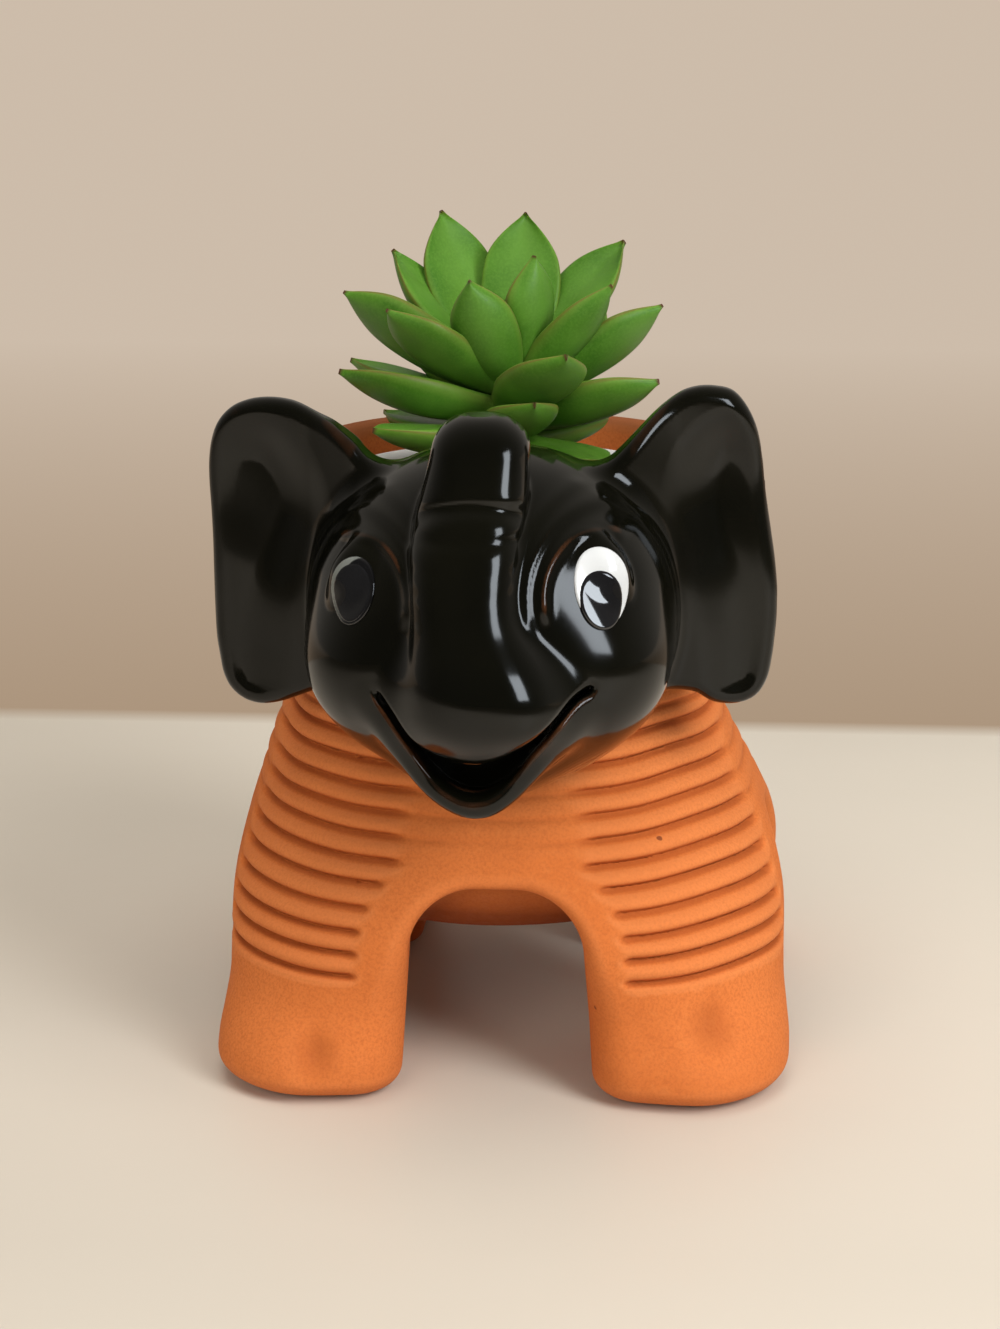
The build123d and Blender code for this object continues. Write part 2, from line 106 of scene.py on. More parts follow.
def waves(x, y, z, size, seed, count=6):
    """Smooth irregularity of about plus or minus one, with features of a size."""
    rng = np.random.default_rng(seed)
    total = 0
    for _ in range(count):
        way = rng.normal(size=3)
        way *= 2 * math.pi / size * rng.uniform(0.7, 1.4) / np.linalg.norm(way)
        total = total + np.sin(x * way[0] + y * way[1] + z * way[2] + rng.uniform(0, 2 * math.pi))
    return total / math.sqrt(count)


def curve_table(stations, count=400):
    """Smooth curve through (place, value) stations as two arrays."""
    s = np.array(stations, float)
    slopes = np.gradient(s[:, 1], s[:, 0])
    at = np.linspace(s[0, 0], s[-1, 0], count)
    k = np.clip(np.searchsorted(s[:, 0], at, side="right") - 1, 0, len(s) - 2)
    span = s[k + 1, 0] - s[k, 0]
    t = (at - s[k, 0]) / span
    a, b = s[k, 1], s[k + 1, 1]
    m, n = slopes[k] * span, slopes[k + 1] * span
    value = a + t * m + t * t * (3 * (b - a) - 2 * m - n) + t ** 3 * (m + n - 2 * (b - a))
    return at, value


def spline_points(points, closed=True, steps=6):
    """More points on a smooth curve through points."""
    p = np.array(points, float)
    p = np.vstack([p[-1:], p, p[:2]] if closed else [p[:1], p, p[-1:]])
    out = []
    for a, b, c, d in zip(p, p[1:], p[2:], p[3:]):
        square, cube = 2 * a - 5 * b + 4 * c - d, 3 * b - a - 3 * c + d
        for t in np.arange(steps) / steps:
            out.append(0.5 * (2 * b + (c - a) * t + square * t ** 2 + cube * t ** 3))
    return np.array(out)


class Outline:
    """Signed distance to a closed outline in a plane, kept on a fine lattice."""

    def __init__(self, points, pad=26.0, pitch=0.4):
        p = spline_points(points)
        self.low = p.min(0) - pad
        self.pitch = pitch
        size = np.ceil((p.max(0) + pad - self.low) / pitch).astype(int) + 1
        u = self.low[0] + pitch * np.arange(size[0])
        v = self.low[1] + pitch * np.arange(size[1])
        uu, vv = np.meshgrid(u, v, indexing="ij")
        best = np.full(uu.shape, 1e9)
        inside = np.zeros(uu.shape, bool)
        for a, b in zip(p, np.roll(p, -1, axis=0)):
            run = b - a
            t = np.clip(((uu - a[0]) * run[0] + (vv - a[1]) * run[1]) / (run @ run + 1e-9), 0, 1)
            best = np.minimum(best, np.hypot(uu - a[0] - t * run[0], vv - a[1] - t * run[1]))
            crosses = (a[1] > vv) != (b[1] > vv)
            rise = run[1] if abs(run[1]) > 1e-9 else 1e-9
            inside ^= crosses & (uu < a[0] + (vv - a[1]) * run[0] / rise)
        self.table = np.where(inside, -best, best)

    def __call__(self, u, v):
        i = np.clip((u - self.low[0]) / self.pitch, 0, self.table.shape[0] - 1.001)
        j = np.clip((v - self.low[1]) / self.pitch, 0, self.table.shape[1] - 1.001)
        a, b = i.astype(int), j.astype(int)
        s, t = i - a, j - b
        k = self.table
        low = k[a, b] * (1 - s) + k[a + 1, b] * s
        high = k[a, b + 1] * (1 - s) + k[a + 1, b + 1] * s
        return low * (1 - t) + high * t


def gradient(field, p, step):
    """How fast a field grows at points, along each axis."""
    return np.stack([field(*(p + d).T) - field(*(p - d).T) for d in step * np.eye(3)], 1) / (2 * step)


def settle(field, p, limit, rounds=2):
    """Points moved onto the surface of a field."""
    for _ in range(rounds):
        g = gradient(field, p, 0.05)
        move = -field(*p.T)[:, None] * g / np.maximum((g * g).sum(1), 0.15)[:, None]
        length = np.linalg.norm(move, axis=1)[:, None]
        p = p + move * np.minimum(1, limit / np.maximum(length, 1e-9))
    return p


def mesh_field(field, low, high, step, block=5):
    """Points and quads on the surface of a field. Blocks far from the surface are skipped."""
    low, high, step = (np.array(v, float) for v in (low, high, step))
    step = step * 1.0
    counts = np.ceil((high - low) / step / block).astype(int)
    middles = [low[i] + (np.arange(counts[i]) * block + (block - 1) / 2) * step[i] for i in range(3)]
    places = np.meshgrid(*middles, indexing="ij")
    coarse = field(*(v.ravel() for v in places)).reshape(counts)
    near = np.abs(coarse) < 0.8 * np.linalg.norm(step * block) + 1.5
    values = coarse.astype(np.float32)
    for axis in range(3):
        values = np.repeat(values, block, axis)
    offsets = np.stack(np.meshgrid(*[np.arange(block)] * 3, indexing="ij"), -1).reshape(-1, 3)
    blocks = np.argwhere(near)
    for part in np.array_split(blocks, max(1, len(blocks) // 4000)):
        ijk = (part[:, None, :] * block + offsets).reshape(-1, 3)
        values[tuple(ijk.T)] = field(*(low + ijk * step).T)
    band = 3 * float(step.max())
    grid = openvdb.FloatGrid(band)
    grid.copyFromArray(np.clip(values, -band, band))
    points, quads = grid.convertToQuads(0.0)
    points = settle(field, low + points.astype(float) * step, 0.6 * float(step.max()))
    return points, quads.astype(np.int64)


# Objects

def mesh_arrays(name, points, faces):
    """A mesh from points in millimetres and faces that all have as many corners."""
    mesh = bpy.data.meshes.new(name)
    mesh.vertices.add(len(points))
    mesh.vertices.foreach_set("co", np.asarray(points, np.float32).ravel() * MM)
    corners = faces.shape[1]
    mesh.loops.add(faces.size)
    mesh.loops.foreach_set("vertex_index", faces.astype(np.int32).ravel())
    mesh.polygons.add(len(faces))
    mesh.polygons.foreach_set("loop_start", np.arange(len(faces), dtype=np.int32) * corners)
    mesh.update(calc_edges=True)
    return mesh


def place(name, data):
    obj = bpy.data.objects.new(name, data)
    bpy.context.scene.collection.objects.link(obj)
    return obj


def mesh_points(mesh):
    """Points of a mesh in millimetres."""
    points = np.empty(len(mesh.vertices) * 3, np.float32)
    mesh.vertices.foreach_get("co", points)
    return points.reshape(-1, 3).astype(float) / MM


@contextmanager
def opened(mesh):
    """A mesh opened for editing, which is written back at the end."""
    work = bmesh.new()
    work.from_mesh(mesh)
    yield work
    work.to_mesh(mesh)
    work.free()


def baked(obj):
    """The mesh of an object with its modifiers applied, which takes the object's place."""
    mesh = bpy.data.meshes.new_from_object(obj.evaluated_get(bpy.context.evaluated_depsgraph_get()))
    bpy.data.objects.remove(obj)
    return mesh


def thinned(points, faces, budget):
    """The same surface with about a budget of triangles."""
    count = len(faces) * (faces.shape[1] - 2)
    obj = place("thinning", mesh_arrays("thinning", points, faces))
    if budget < count:
        modifier = obj.modifiers.new("thin", "DECIMATE")
        modifier.ratio = budget / count
    mesh = baked(obj)
    points = mesh_points(mesh)
    mesh.calc_loop_triangles()
    faces = np.empty(len(mesh.loop_triangles) * 3, np.int32)
    mesh.loop_triangles.foreach_get("vertices", faces)
    bpy.data.meshes.remove(mesh)
    return points, faces.reshape(-1, 3).astype(np.int64)


def outward(field, points, faces):
    """Faces turned so that their normals point out of the field."""
    corner = points[faces]
    normal = np.cross(corner[:, 1] - corner[:, 0], corner[:, 2] - corner[:, 0])
    skip = max(1, len(faces) // 4000)
    facing = (gradient(field, corner.mean(1)[::skip], 0.1) * normal[::skip]).sum(1)
    return faces if facing.sum() > 0 else faces[:, ::-1]


def surface(field, low, high, step, budget):
    """The surface of a field, as points and about a budget of triangles that face out."""
    points, faces = mesh_field(field, low, high, step)
    return thinned(points, outward(field, points, faces), budget)


def set_values(mesh, name, values):
    layer = mesh.attributes.new(name, "FLOAT", "POINT")
    layer.data.foreach_set("value", np.asarray(values, np.float32))


def close_rim(work, field):
    """Turns the open edges of a cut surface in by a skirt, and fills the hole that is left."""
    rim = [e for e in work.edges if e.is_boundary]
    if not rim:
        return
    skirt = bmesh.ops.extrude_edge_only(work, edges=rim)["geom"]
    turned_in = [v for v in skirt if isinstance(v, bmesh.types.BMVert)]
    places = np.array([v.co for v in turned_in]) / MM
    inward = gradient(field, places, 0.2)
    places -= SKIRT * inward / np.maximum(np.linalg.norm(inward, axis=1), 1e-6)[:, None]
    for vert, at in zip(turned_in, places):
        vert.co = Vector(at * MM)
    made = bmesh.ops.holes_fill(work, edges=[e for e in work.edges if e.is_boundary], sides=0)
    bmesh.ops.triangulate(work, faces=made["faces"])
    bmesh.ops.recalc_face_normals(work, faces=work.faces)


def field_piece(name, field, points, faces, values=None):
    """A closed object from a part of a field's surface, whose normals follow the field."""
    used, faces = np.unique(faces, return_inverse=True)
    mesh = mesh_arrays(name, points[used], faces.reshape(-1, 3))
    for key, value in (values or {}).items():
        set_values(mesh, key, value[used])
    with opened(mesh) as work:
        close_rim(work, field)
    mesh.shade_smooth()
    normals = gradient(field, mesh_points(mesh), 0.2)
    normals /= np.maximum(np.linalg.norm(normals, axis=1), 1e-6)[:, None]
    mesh.normals_split_custom_set_from_vertices(normals.astype(np.float32))
    return place(name, mesh)


def hollows(field, points, step=1.3):
    """How sharply the surface bulges at each point, positive on edges and negative in grooves."""
    total = -6 * field(*points.T)
    for d in step * np.eye(3):
        total = total + field(*(points + d).T) + field(*(points - d).T)
    return total / step ** 2


# Body

BELL = [
    (0.0, 66.6, 21.5), (1.5, 68.0, 22.0), (4.0, 69.2, 23.0), (10.0, 69.9, 26.0), (16.0, 69.3, 29.0),
    (22.0, 68.7, 34.0), (28.0, 68.9, 39.0), (34.0, 69.3, 44.0), (42.0, 69.2, 50.0), (50.0, 67.9, 56.0),
    (58.0, 65.1, 58.5), (71.5, 59.8, 56.5), (87.6, 53.8, 52.0), (103.7, 51.7, 50.2), (121.2, 51.6, 50.0),
    (137.2, 52.9, 51.3), (146.0, 54.3, 52.7), (150.0, 54.6, 53.0),
]
HALF_AT = curve_table([(z, half) for z, half, corner in BELL])
CORNER_AT = curve_table([(z, corner) for z, half, corner in BELL])
LEAN_AT = curve_table([
    (0, 2.1), (12, 2.1), (28, 1.9), (45, 1.6), (62, 0.6), (76, -0.7), (95, -0.9), (120, -0.3), (150, 0.0),
])
WELL_AT = curve_table([
    (45.0, 40.0), (50.0, 46.5), (56.0, 50.0), (65.0, 51.0), (85.0, 47.6), (105.0, 44.5), (125.0, 45.2),
    (150.0, 47.2),
])
RIM_TOP, RIM_ROUND = 146.0, 3.3
WELL_FLOOR, WELL_ROUND, DRAIN_RADIUS = 45.0, 5.0, 5.0
BELLY_RADIUS, BELLY_LOW, BELLY_CURVE, BELLY_INSET = 60.0, 36.0, 20.0, 4.5
ARCH_HALF, ARCH_TOP, ARCH_CORNER = 23.4, 53.0, 15.0
ARCH_TAPER, ARCH_FLARE, ARCH_SHIFT = 3.6, 2.6, 1.2
LEG_TOP, LEG_HALF, SOLE_ROUND = 44.0, 67.0, 6.4
CORE_AT, CORE_RADIUS, CORE_TOP = 43.5, 9.0, 32.0

# Each foot bulges, and has one hollow between its toes: side, distance from the middle and height
BULGE_AT, BULGE_SIZE = (47.0, 5.0), (21.0, 12.0)
BULGE_OUT = {-1: 4.0, 1: 1.6}
TOE_HOLLOWS = ((-1, 41.5, 13.0), (1, 53.0, 20.5))
HOLLOW_SIZE, HOLLOW_DEEP = (4.0, 6.0), 1.9

# The ribs end at smooth bands round the arches and fade in a bib in the middle of each side
RIB_LOW, RIB_PITCH, RIB_TOTAL, RIB_DEEP = 31.5, 5.32, 11, 2.3
RIB_AT = (
    np.array([0.0, 0.06, 0.13, 0.21, 0.31, 0.42, 0.54, 0.66, 0.77, 0.87, 0.95, 1.0]),
    np.array([-1.0, -0.84, -0.56, -0.32, -0.13, -0.03, 0.0, -0.09, -0.28, -0.54, -0.84, -1.0]),
)
RIB_WANDER = ((0.5, 2, 0.7), (0.3, 5, 2.0), (0.16, 11, 0.0))
BAND_IN, BAND_OUT = 9.6, 13.0
BIB_HEIGHT, BIB_RADIUS = 63.0, 21.0
FINE_PITCH, FINE_DEEP = 2.9, 0.3
FINE_AT = ([0, 0.12, 0.4, 0.8, 1], [-1, -0.3, 0, -0.3, -1])


def arch_gap(u, z, back):
    """Distance to the arch opening in the plane of a face, at a place behind that face."""
    half = ARCH_HALF - ARCH_TAPER * np.clip(z / ARCH_TOP, 0, 1) + ARCH_FLARE * ease(back, 6.0, 34.0)
    return sharp_max(np.abs(u) - (half - ARCH_CORNER), z - (ARCH_TOP - ARCH_CORNER)) - ARCH_CORNER


def ribs(x, y, z):
    """How far the surface stands back in the grooves between the thrown ribs."""
    turn = np.arctan2(y, x)
    level = z
    for height, count, start in RIB_WANDER:
        level = level + height * np.sin(count * turn + start)
    phase = (level - RIB_LOW) / RIB_PITCH
    number = np.floor(phase)
    depth = np.interp(phase - number, *RIB_AT)
    depth = depth * (RIB_DEEP + 0.7 * np.abs(np.cos(turn)) + 0.3 * np.sin(2.3 * number + 1.2 * np.sin(turn)))
    face = np.where(np.abs(y) > np.abs(x), x, y)
    across = arch_gap(x, z, 0) + 30 * (np.abs(y) < 24)
    along = arch_gap(y, z, 0) + 30 * (np.abs(x) < 24)
    clear = ease(np.minimum(across, along), BAND_IN, BAND_OUT)
    bib = np.hypot(face / BIB_RADIUS, (z - BIB_HEIGHT) / BIB_RADIUS) - 1
    clear = clear * (0.2 + 0.8 * ease(bib, -0.1, 0.22))
    clear = clear * ease(phase, -0.30, 0.02) * (1 - ease(phase, RIB_TOTAL - 0.3, RIB_TOTAL + 0.1))
    fine = np.interp(np.mod(level, FINE_PITCH) / FINE_PITCH, *FINE_AT)
    fine = fine * FINE_DEEP * ease(z, 84, 92) * (1 - ease(z, 112, 140))
    return depth * clear + fine


def bell(x, y, z):
    """Smooth outside of the body. Here, in ribs and in belly, y is from the body's axis."""
    half, corner = np.interp(z, *HALF_AT), np.interp(z, *CORNER_AT)
    x = x - np.interp(z, *LEAN_AT)
    return sharp_max(np.abs(x) - (half - corner), np.abs(y) - (half - corner)) - corner


def belly(x, y, z, skin):
    """The rounded underside between the legs, inside the body's skin."""
    side = np.hypot(x, y) - (BELLY_RADIUS - BELLY_CURVE)
    under = BELLY_LOW + BELLY_CURVE - z
    form = sharp_max(side, under) - BELLY_CURVE + 0.35 * waves(x, y, z, 42, 5)
    return smooth_max(form, skin + BELLY_INSET, 6.0)


def clay_body(x, y, z):
    y = y - BODY_Y
    skin = bell(x, y, z)
    outside = skin - ribs(x, y, z) - 0.22 * waves(x, y, z, 34, 3)
    for sy in (-1, 1):
        for sx, at, height in TOE_HOLLOWS:
            bulge = soft_spot(x, z, (sx * BULGE_AT[0], BULGE_AT[1]), BULGE_SIZE)
            hollow = soft_spot(x, z, (sx * at, height), HOLLOW_SIZE)
            outside = outside + (HOLLOW_DEEP * hollow - BULGE_OUT[sy] * bulge) * ease(sy * y, 36, 62)
    front = arch_gap(x - ARCH_SHIFT, z, LEG_HALF - np.abs(y))
    tunnel = smooth_min(front, arch_gap(y, z, LEG_HALF - np.abs(x)), 5.0)
    under = belly(x, y, z, skin)
    shell = round_max(outside, -tunnel, 4.5 + 6.5 * (1 - ease(z, 14.0, 44.0)))
    shell = smooth_min(shell, smooth_max(under, z - 70.0, 4.0), 5.0)
    shell = round_max(shell, -z, SOLE_ROUND)
    shell = round_max(shell, z - RIM_TOP - 0.25 * np.sin(3 * np.arctan2(y, x)), RIM_ROUND)
    radius = np.hypot(x, y)
    well = round_max(radius - np.interp(z, *WELL_AT), WELL_FLOOR - z, WELL_ROUND)
    shell = smooth_max(shell, -well, 3.4)
    shell = smooth_max(shell, DRAIN_RADIUS - radius, 1.6)
    for sx in (-1, 1):
        for sy in (-1, 1):
            core = np.hypot(x - sx * CORE_AT, y - sy * CORE_AT) - CORE_RADIUS
            shell = smooth_max(shell, -round_max(core, z - CORE_TOP, 4.0), 2.4)
    return shell


body_points, body_faces = surface(
    clay_body, (-73.0, BODY_Y - 73.0, -3.0), (73.0, BODY_Y + 73.0, 149.5), (0.95, 0.95, 0.6), 250000
)
body_points = settle(clay_body, body_points, 0.3, rounds=1)
groove = -ribs(body_points[:, 0], body_points[:, 1] - BODY_Y, body_points[:, 2])
body_values = {"relief": hollows(clay_body, body_points), "groove": np.clip(groove / 2.4, 0, 1)}

middle = body_points[body_faces].mean(1)
mx, my, mz = middle[:, 0], middle[:, 1] - BODY_Y, middle[:, 2]
is_leg = (mz < LEG_TOP) & (belly(mx, my, mz, bell(mx, my, mz)) > 0.5)
BODY_PIECES = {"bowl": ~is_leg}
for end, sy in (("front", -1), ("rear", 1)):
    for side, sx in (("left", -1), ("right", 1)):
        BODY_PIECES[f"{end}_leg_{side}"] = is_leg & (sx * mx > 0) & (sy * my > 0)

pieces = {}
for node, mask in BODY_PIECES.items():
    pieces[node] = field_piece(f"{node}_clay", clay_body, body_points, body_faces[mask], body_values)

TAIL = [
    (0, 69.0, 106.0), (0, 72.6, 101.0), (0, 74.2, 92.0), (0.6, 76.0, 82.0), (0.2, 79.0, 73.0),
    (0, 80.8, 66.5), (0, 80.6, 62.6),
]
TAIL_RADII = [5.4, 4.7, 3.5, 3.0, 3.2, 4.1, 2.0]


def clay_tail(x, y, z):
    limb = capsule_chain(x, y, z, TAIL, TAIL_RADII, 3.0)
    tuft = 0.28 * np.cos(6 * np.arctan2(y - 80.0, x) + 0.2 * z) * (1 - ease(z, 67, 74))
    twist = 0.16 * np.cos(2 * np.arctan2(y - 75.0, x) + 0.9 * z) * ease(z, 70, 78)
    limb = limb + tuft + twist
    return smooth_max(limb, -(bell(x, y - BODY_Y, z) - ribs(x, y - BODY_Y, z)), 0.6)


tail_points, tail_faces = surface(clay_tail, (-9, 62, 56), (9, 88, 114), (0.5, 0.5, 0.5), 20000)
tail_values = {"relief": hollows(clay_tail, tail_points)}
pieces["tail"] = field_piece("tail_clay", clay_tail, tail_points, tail_faces, tail_values)


# Head

EAR_LINES = {
    1: [
        (10.0, 138.0), (20.0, 150.0), (27.2, 155.6), (31.7, 160.0), (37.2, 165.7), (42.1, 169.4),
        (46.1, 170.7), (50.2, 170.7), (54.3, 169.6), (57.4, 166.4), (59.8, 161.7), (61.2, 156.5),
        (62.2, 150.3), (63.2, 142.4), (64.2, 136.0), (65.2, 129.6), (65.9, 123.2), (66.0, 119.4),
        (66.0, 115.2), (65.7, 110.8), (65.2, 106.0), (64.1, 100.6), (61.4, 96.6), (56.8, 95.0),
        (51.5, 95.8), (47.0, 98.5), (41.0, 99.5), (33.0, 100.0), (18.0, 106.0),
    ],
    -1: [
        (10.0, 138.0), (20.0, 149.5), (28.3, 155.4), (31.3, 158.6), (36.4, 162.1), (40.4, 163.9),
        (45.0, 166.0), (48.6, 166.8), (52.7, 166.9), (56.9, 166.2), (61.0, 164.4), (64.2, 161.2),
        (66.1, 157.1), (67.1, 151.9), (67.3, 146.3), (67.0, 139.0), (66.8, 131.8), (66.8, 124.4),
        (66.8, 117.1), (66.6, 109.7), (66.0, 104.9), (65.0, 99.7), (63.0, 96.1), (59.5, 93.6),
        (55.5, 93.0), (51.0, 94.0), (46.0, 96.0), (40.0, 98.5), (33.0, 100.0), (18.0, 106.0),
    ],
}
DISH_LINES = {
    1: [
        (40.1, 142.1), (39.9, 147.3), (41.0, 153.0), (43.3, 158.0), (46.6, 162.0), (50.6, 164.4),
        (55.0, 164.8), (60.5, 163.0), (66.0, 158.0), (70.0, 148.0), (72.0, 130.0), (72.0, 112.0),
        (68.0, 97.0), (58.0, 92.0), (50.5, 97.0), (49.0, 107.0), (48.0, 116.0), (46.6, 123.4),
        (43.9, 130.0), (41.5, 136.9),
    ],
    -1: [
        (39.0, 138.0), (38.5, 144.0), (40.0, 150.0), (43.5, 156.0), (48.0, 160.6), (53.0, 162.8),
        (58.0, 163.4), (64.0, 162.0), (69.0, 157.0), (72.0, 147.0), (73.0, 130.0), (73.0, 112.0),
        (69.0, 96.0), (59.0, 89.0), (51.0, 94.0), (49.0, 105.0), (47.5, 116.0), (44.6, 124.0),
        (41.4, 131.5),
    ],
}
EAR_OUTLINE = {sign: Outline(points) for sign, points in EAR_LINES.items()}
EAR_DISH = {sign: Outline(points) for sign, points in DISH_LINES.items()}
EAR_SWEEP = math.radians(12.0)
EAR_HINGE = (26.0, -34.5)
EAR_FRONT, EAR_BACK, EAR_EDGE = 3.6, 4.4, 3.4


def ear(x, y, z, sign):
    """A dished plate with a thick rolled edge, whose outer side is turned back."""
    u = sign * x
    line = EAR_OUTLINE[sign](u, z)
    dish = EAR_DISH[sign](u, z)
    forward = (EAR_HINGE[1] + math.tan(EAR_SWEEP) * (u - EAR_HINGE[0]) - y) * math.cos(EAR_SWEEP)
    upper = ease(z, 118.0, 158.0)
    fold = 4.2 * ease(43.0 - u, 0.0, 12.0) * ease(z, 112.0, 140.0)
    sunk = (3.8 + 1.8 * upper) * ease(-dish, -2.0, 12.0) * (0.72 + 0.28 * ease(u, 62.0, 50.0))
    front = EAR_FRONT + fold - sunk + 0.3 * waves(x, 0, z, 30, 11)
    back = EAR_BACK + 0.4 * np.sin(z * 0.11)
    plate = round_max(forward - front, -forward - back, 1.0)
    return round_max(plate, line, EAR_EDGE)


TRUNK_ACROSS = curve_table([
    (96, 1.4), (104, 1.4), (110, 1.0), (115, -0.3), (121, -2.2), (131, -3.7), (143, -3.5), (153, -2.1),
    (162, -1.0), (172, -0.8),
])
TRUNK_LINE = curve_table([
    (96, -73.5), (104, -76.0), (112, -76.4), (120, -75.0), (130, -72.6), (142, -68.6), (152, -64.2),
    (160, -61.6), (172, -60.0),
])
TRUNK_HALF = curve_table([
    (96, 15.6), (104, 15.4), (112, 14.6), (120, 13.0), (130, 12.1), (142, 12.3), (152, 11.9), (160, 11.0),
    (172, 10.2),
])
TRUNK_DEEP = curve_table([
    (96, 13.5), (104, 14.0), (112, 13.6), (120, 12.6), (130, 12.2), (142, 11.6), (152, 11.0), (160, 10.4),
    (172, 9.6),
])
TRUNK_LOW, TRUNK_TOP, TRUNK_SQUARE = 104.0, 169.3, 2.5
RING_DEEP, RING_PITCH = 0.03, 4.6
FOLD_HEIGHT, SMALL_FOLD_HEIGHT = 151.5, 144.6
LIP_AT, LIP_SIZE = (0.6, -74.6, 110.8), (17.6, 15.2, 14.4)
LIP_BLEND = curve_table([(90, 9.0), (104, 8.5), (113, 6.5), (122, 3.2), (132, 2.0), (175, 2.0)])


def trunk(x, y, z):
    """The trunk up the face with its folds and turned-over tip, and the upper lip at its root."""
    across, along = np.interp(z, *TRUNK_ACROSS), np.interp(z, *TRUNK_LINE)
    half, deep = np.interp(z, *TRUNK_HALF), np.interp(z, *TRUNK_DEEP)
    a, b = np.abs(x - across) / half, np.abs(y - along) / deep
    limb = ((a ** TRUNK_SQUARE + b ** TRUNK_SQUARE) ** (1 / TRUNK_SQUARE) - 1) * np.minimum(half, deep)
    ring = RING_DEEP * np.cos(2 * math.pi * z / RING_PITCH) * ease(z, 127, 134) * (1 - ease(z, 150, 156))
    fold = 1.0 * np.exp(-(((z - FOLD_HEIGHT + 0.02 * (x + 2.0) ** 2) / 1.9) ** 2))
    fold = fold + 0.5 * np.exp(-(((z - SMALL_FOLD_HEIGHT) / 1.6) ** 2))
    limb = limb + (ring + fold) * ease(along - y, 1.0, 8.0)
    tip = z - TRUNK_TOP + 0.012 * (y + 66.0) ** 2 * (y < -66.0) - 0.05 * (y + 60.0)
    limb = smooth_max(round_max(limb, tip, 7.4), TRUNK_LOW - z, 6.0)
    return smooth_min(limb, ellipsoid(x, y, z, LIP_AT, LIP_SIZE), 7.0)


HEAD, HEAD_SIZE = (0.0, -40.0, 119.0), (42.5, 40.0, 40.0)
CHEEK_SIZE, EYEBALL_SIZE = (18.6, 18.2, 16.4), (8.0, 5.4, 9.6)
EYES = {-1: (-26.5, -65.0, 131.6), 1: (24.0, -65.8, 133.6)}
BROW_ACROSS, BROW_RISE, BROW_HALF = 10.4, 12.2, 1.35
BROWS = ((1.0, 0.9), (1.38, 0.55), (1.72, 0.35))


def skull(x, y, z):
    """The round head with cheeks, eyeballs and the ridges of the brows."""
    ball = ellipsoid(x, y, z, HEAD, HEAD_SIZE, 2.06)
    for sign, (ex, ey, ez) in EYES.items():
        ball = smooth_min(ball, ellipsoid(x, y, z, (sign * 20.5, -57.5, 112.0), CHEEK_SIZE), 9.0)
        ball = smooth_min(ball, ellipsoid(x, y, z, (ex, ey + 1.6, ez), EYEBALL_SIZE), 2.4)
        round_eye = np.hypot((x - ex) / BROW_ACROSS, (z - ez + 0.8) / BROW_RISE)
        above = ease(z - ez - 0.9 * sign * (x - ex), 0.0, 7.0) * ease(-y, 48.0, 54.0)
        for size, height in BROWS:
            ball = ball - height * np.exp(-(((round_eye - size) * BROW_ACROSS / BROW_HALF) ** 2)) * above
    return ball


LIP_UPPER = curve_table([
    (-30, 117.0), (-23.5, 111.8), (-18.8, 106.0), (-14.5, 100.8), (-10.0, 97.8), (-4.6, 96.4), (0.0, 96.2),
    (6.0, 98.4), (11.2, 102.3), (16.4, 107.0), (20.6, 110.9), (24.5, 113.0), (30.0, 114.0),
])
LIP_LOWER = curve_table([
    (-30, 117.0), (-23.4, 110.4), (-18.5, 104.2), (-14.6, 98.4), (-9.4, 92.4), (-4.5, 89.4), (1.6, 89.6),
    (7.8, 94.2), (13.0, 100.6), (17.3, 106.2), (20.7, 110.0), (24.5, 112.4), (30.0, 114.0),
])
# The lower lip's line as places and radii
CHIN_LINE = spline_points([
    (-23.0, -72.5, 107.6, 1.9), (-17.6, -75.6, 98.6, 2.5), (-11.2, -77.6, 91.3, 2.9),
    (-5.8, -79.0, 87.6, 3.1), (-1.0, -79.6, 86.5, 3.2), (3.6, -79.0, 87.9, 3.1),
    (9.4, -77.6, 93.0, 2.9), (15.8, -75.6, 101.0, 2.5), (21.3, -72.8, 109.0, 1.9),
], closed=False, steps=4)
CHIN_AT, CHIN_SIZE, CHIN_POWER = (-0.9, -60.5, 103.3), (24.5, 22.6, 21.8), 1.75
MOUTH_FRONT, MOUTH_BACK, MOUTH_MIDDLE, MOUTH_HALF = 84.0, 64.0, 0.8, 23.4


def jaw(x, y, z):
    chin = ellipsoid(x, y, z, CHIN_AT, CHIN_SIZE, CHIN_POWER)
    lip = capsule_chain(x, y, z, CHIN_LINE[:, :3], CHIN_LINE[:, 3])
    return smooth_min(chin, lip, 5.0)


def mouth(x, y, z):
    """The open mouth between the lips, as a wedge that runs back into the head."""
    roof = z - np.interp(x, *LIP_UPPER)
    floor = np.interp(x, *LIP_LOWER) - z - 0.30 * np.clip(y + MOUTH_FRONT - 6, 0, 14)
    wedge = round_max(roof * 0.85, floor * 0.85, 0.6)
    return round_max(np.maximum(wedge, y + MOUTH_BACK), np.abs(x - MOUTH_MIDDLE) - MOUTH_HALF, 1.0)


def head_parts(x, y, z):
    return skull(x, y, z), jaw(x, y, z), trunk(x, y, z), ear(x, y, z, -1), ear(x, y, z, 1)


def glazed_head(x, y, z):
    face, chin, limb, left, right = head_parts(x, y, z)
    form = smooth_min(face, chin, 6.0)
    form = smooth_min(form, limb, np.interp(z, *LIP_BLEND))
    form = smooth_max(form, -mouth(x, y, z), 2.0)
    form = smooth_min(form, np.minimum(left, right), 5.0)
    return round_max(form, -(bell(x, y - BODY_Y, z) - 0.1), 0.5)


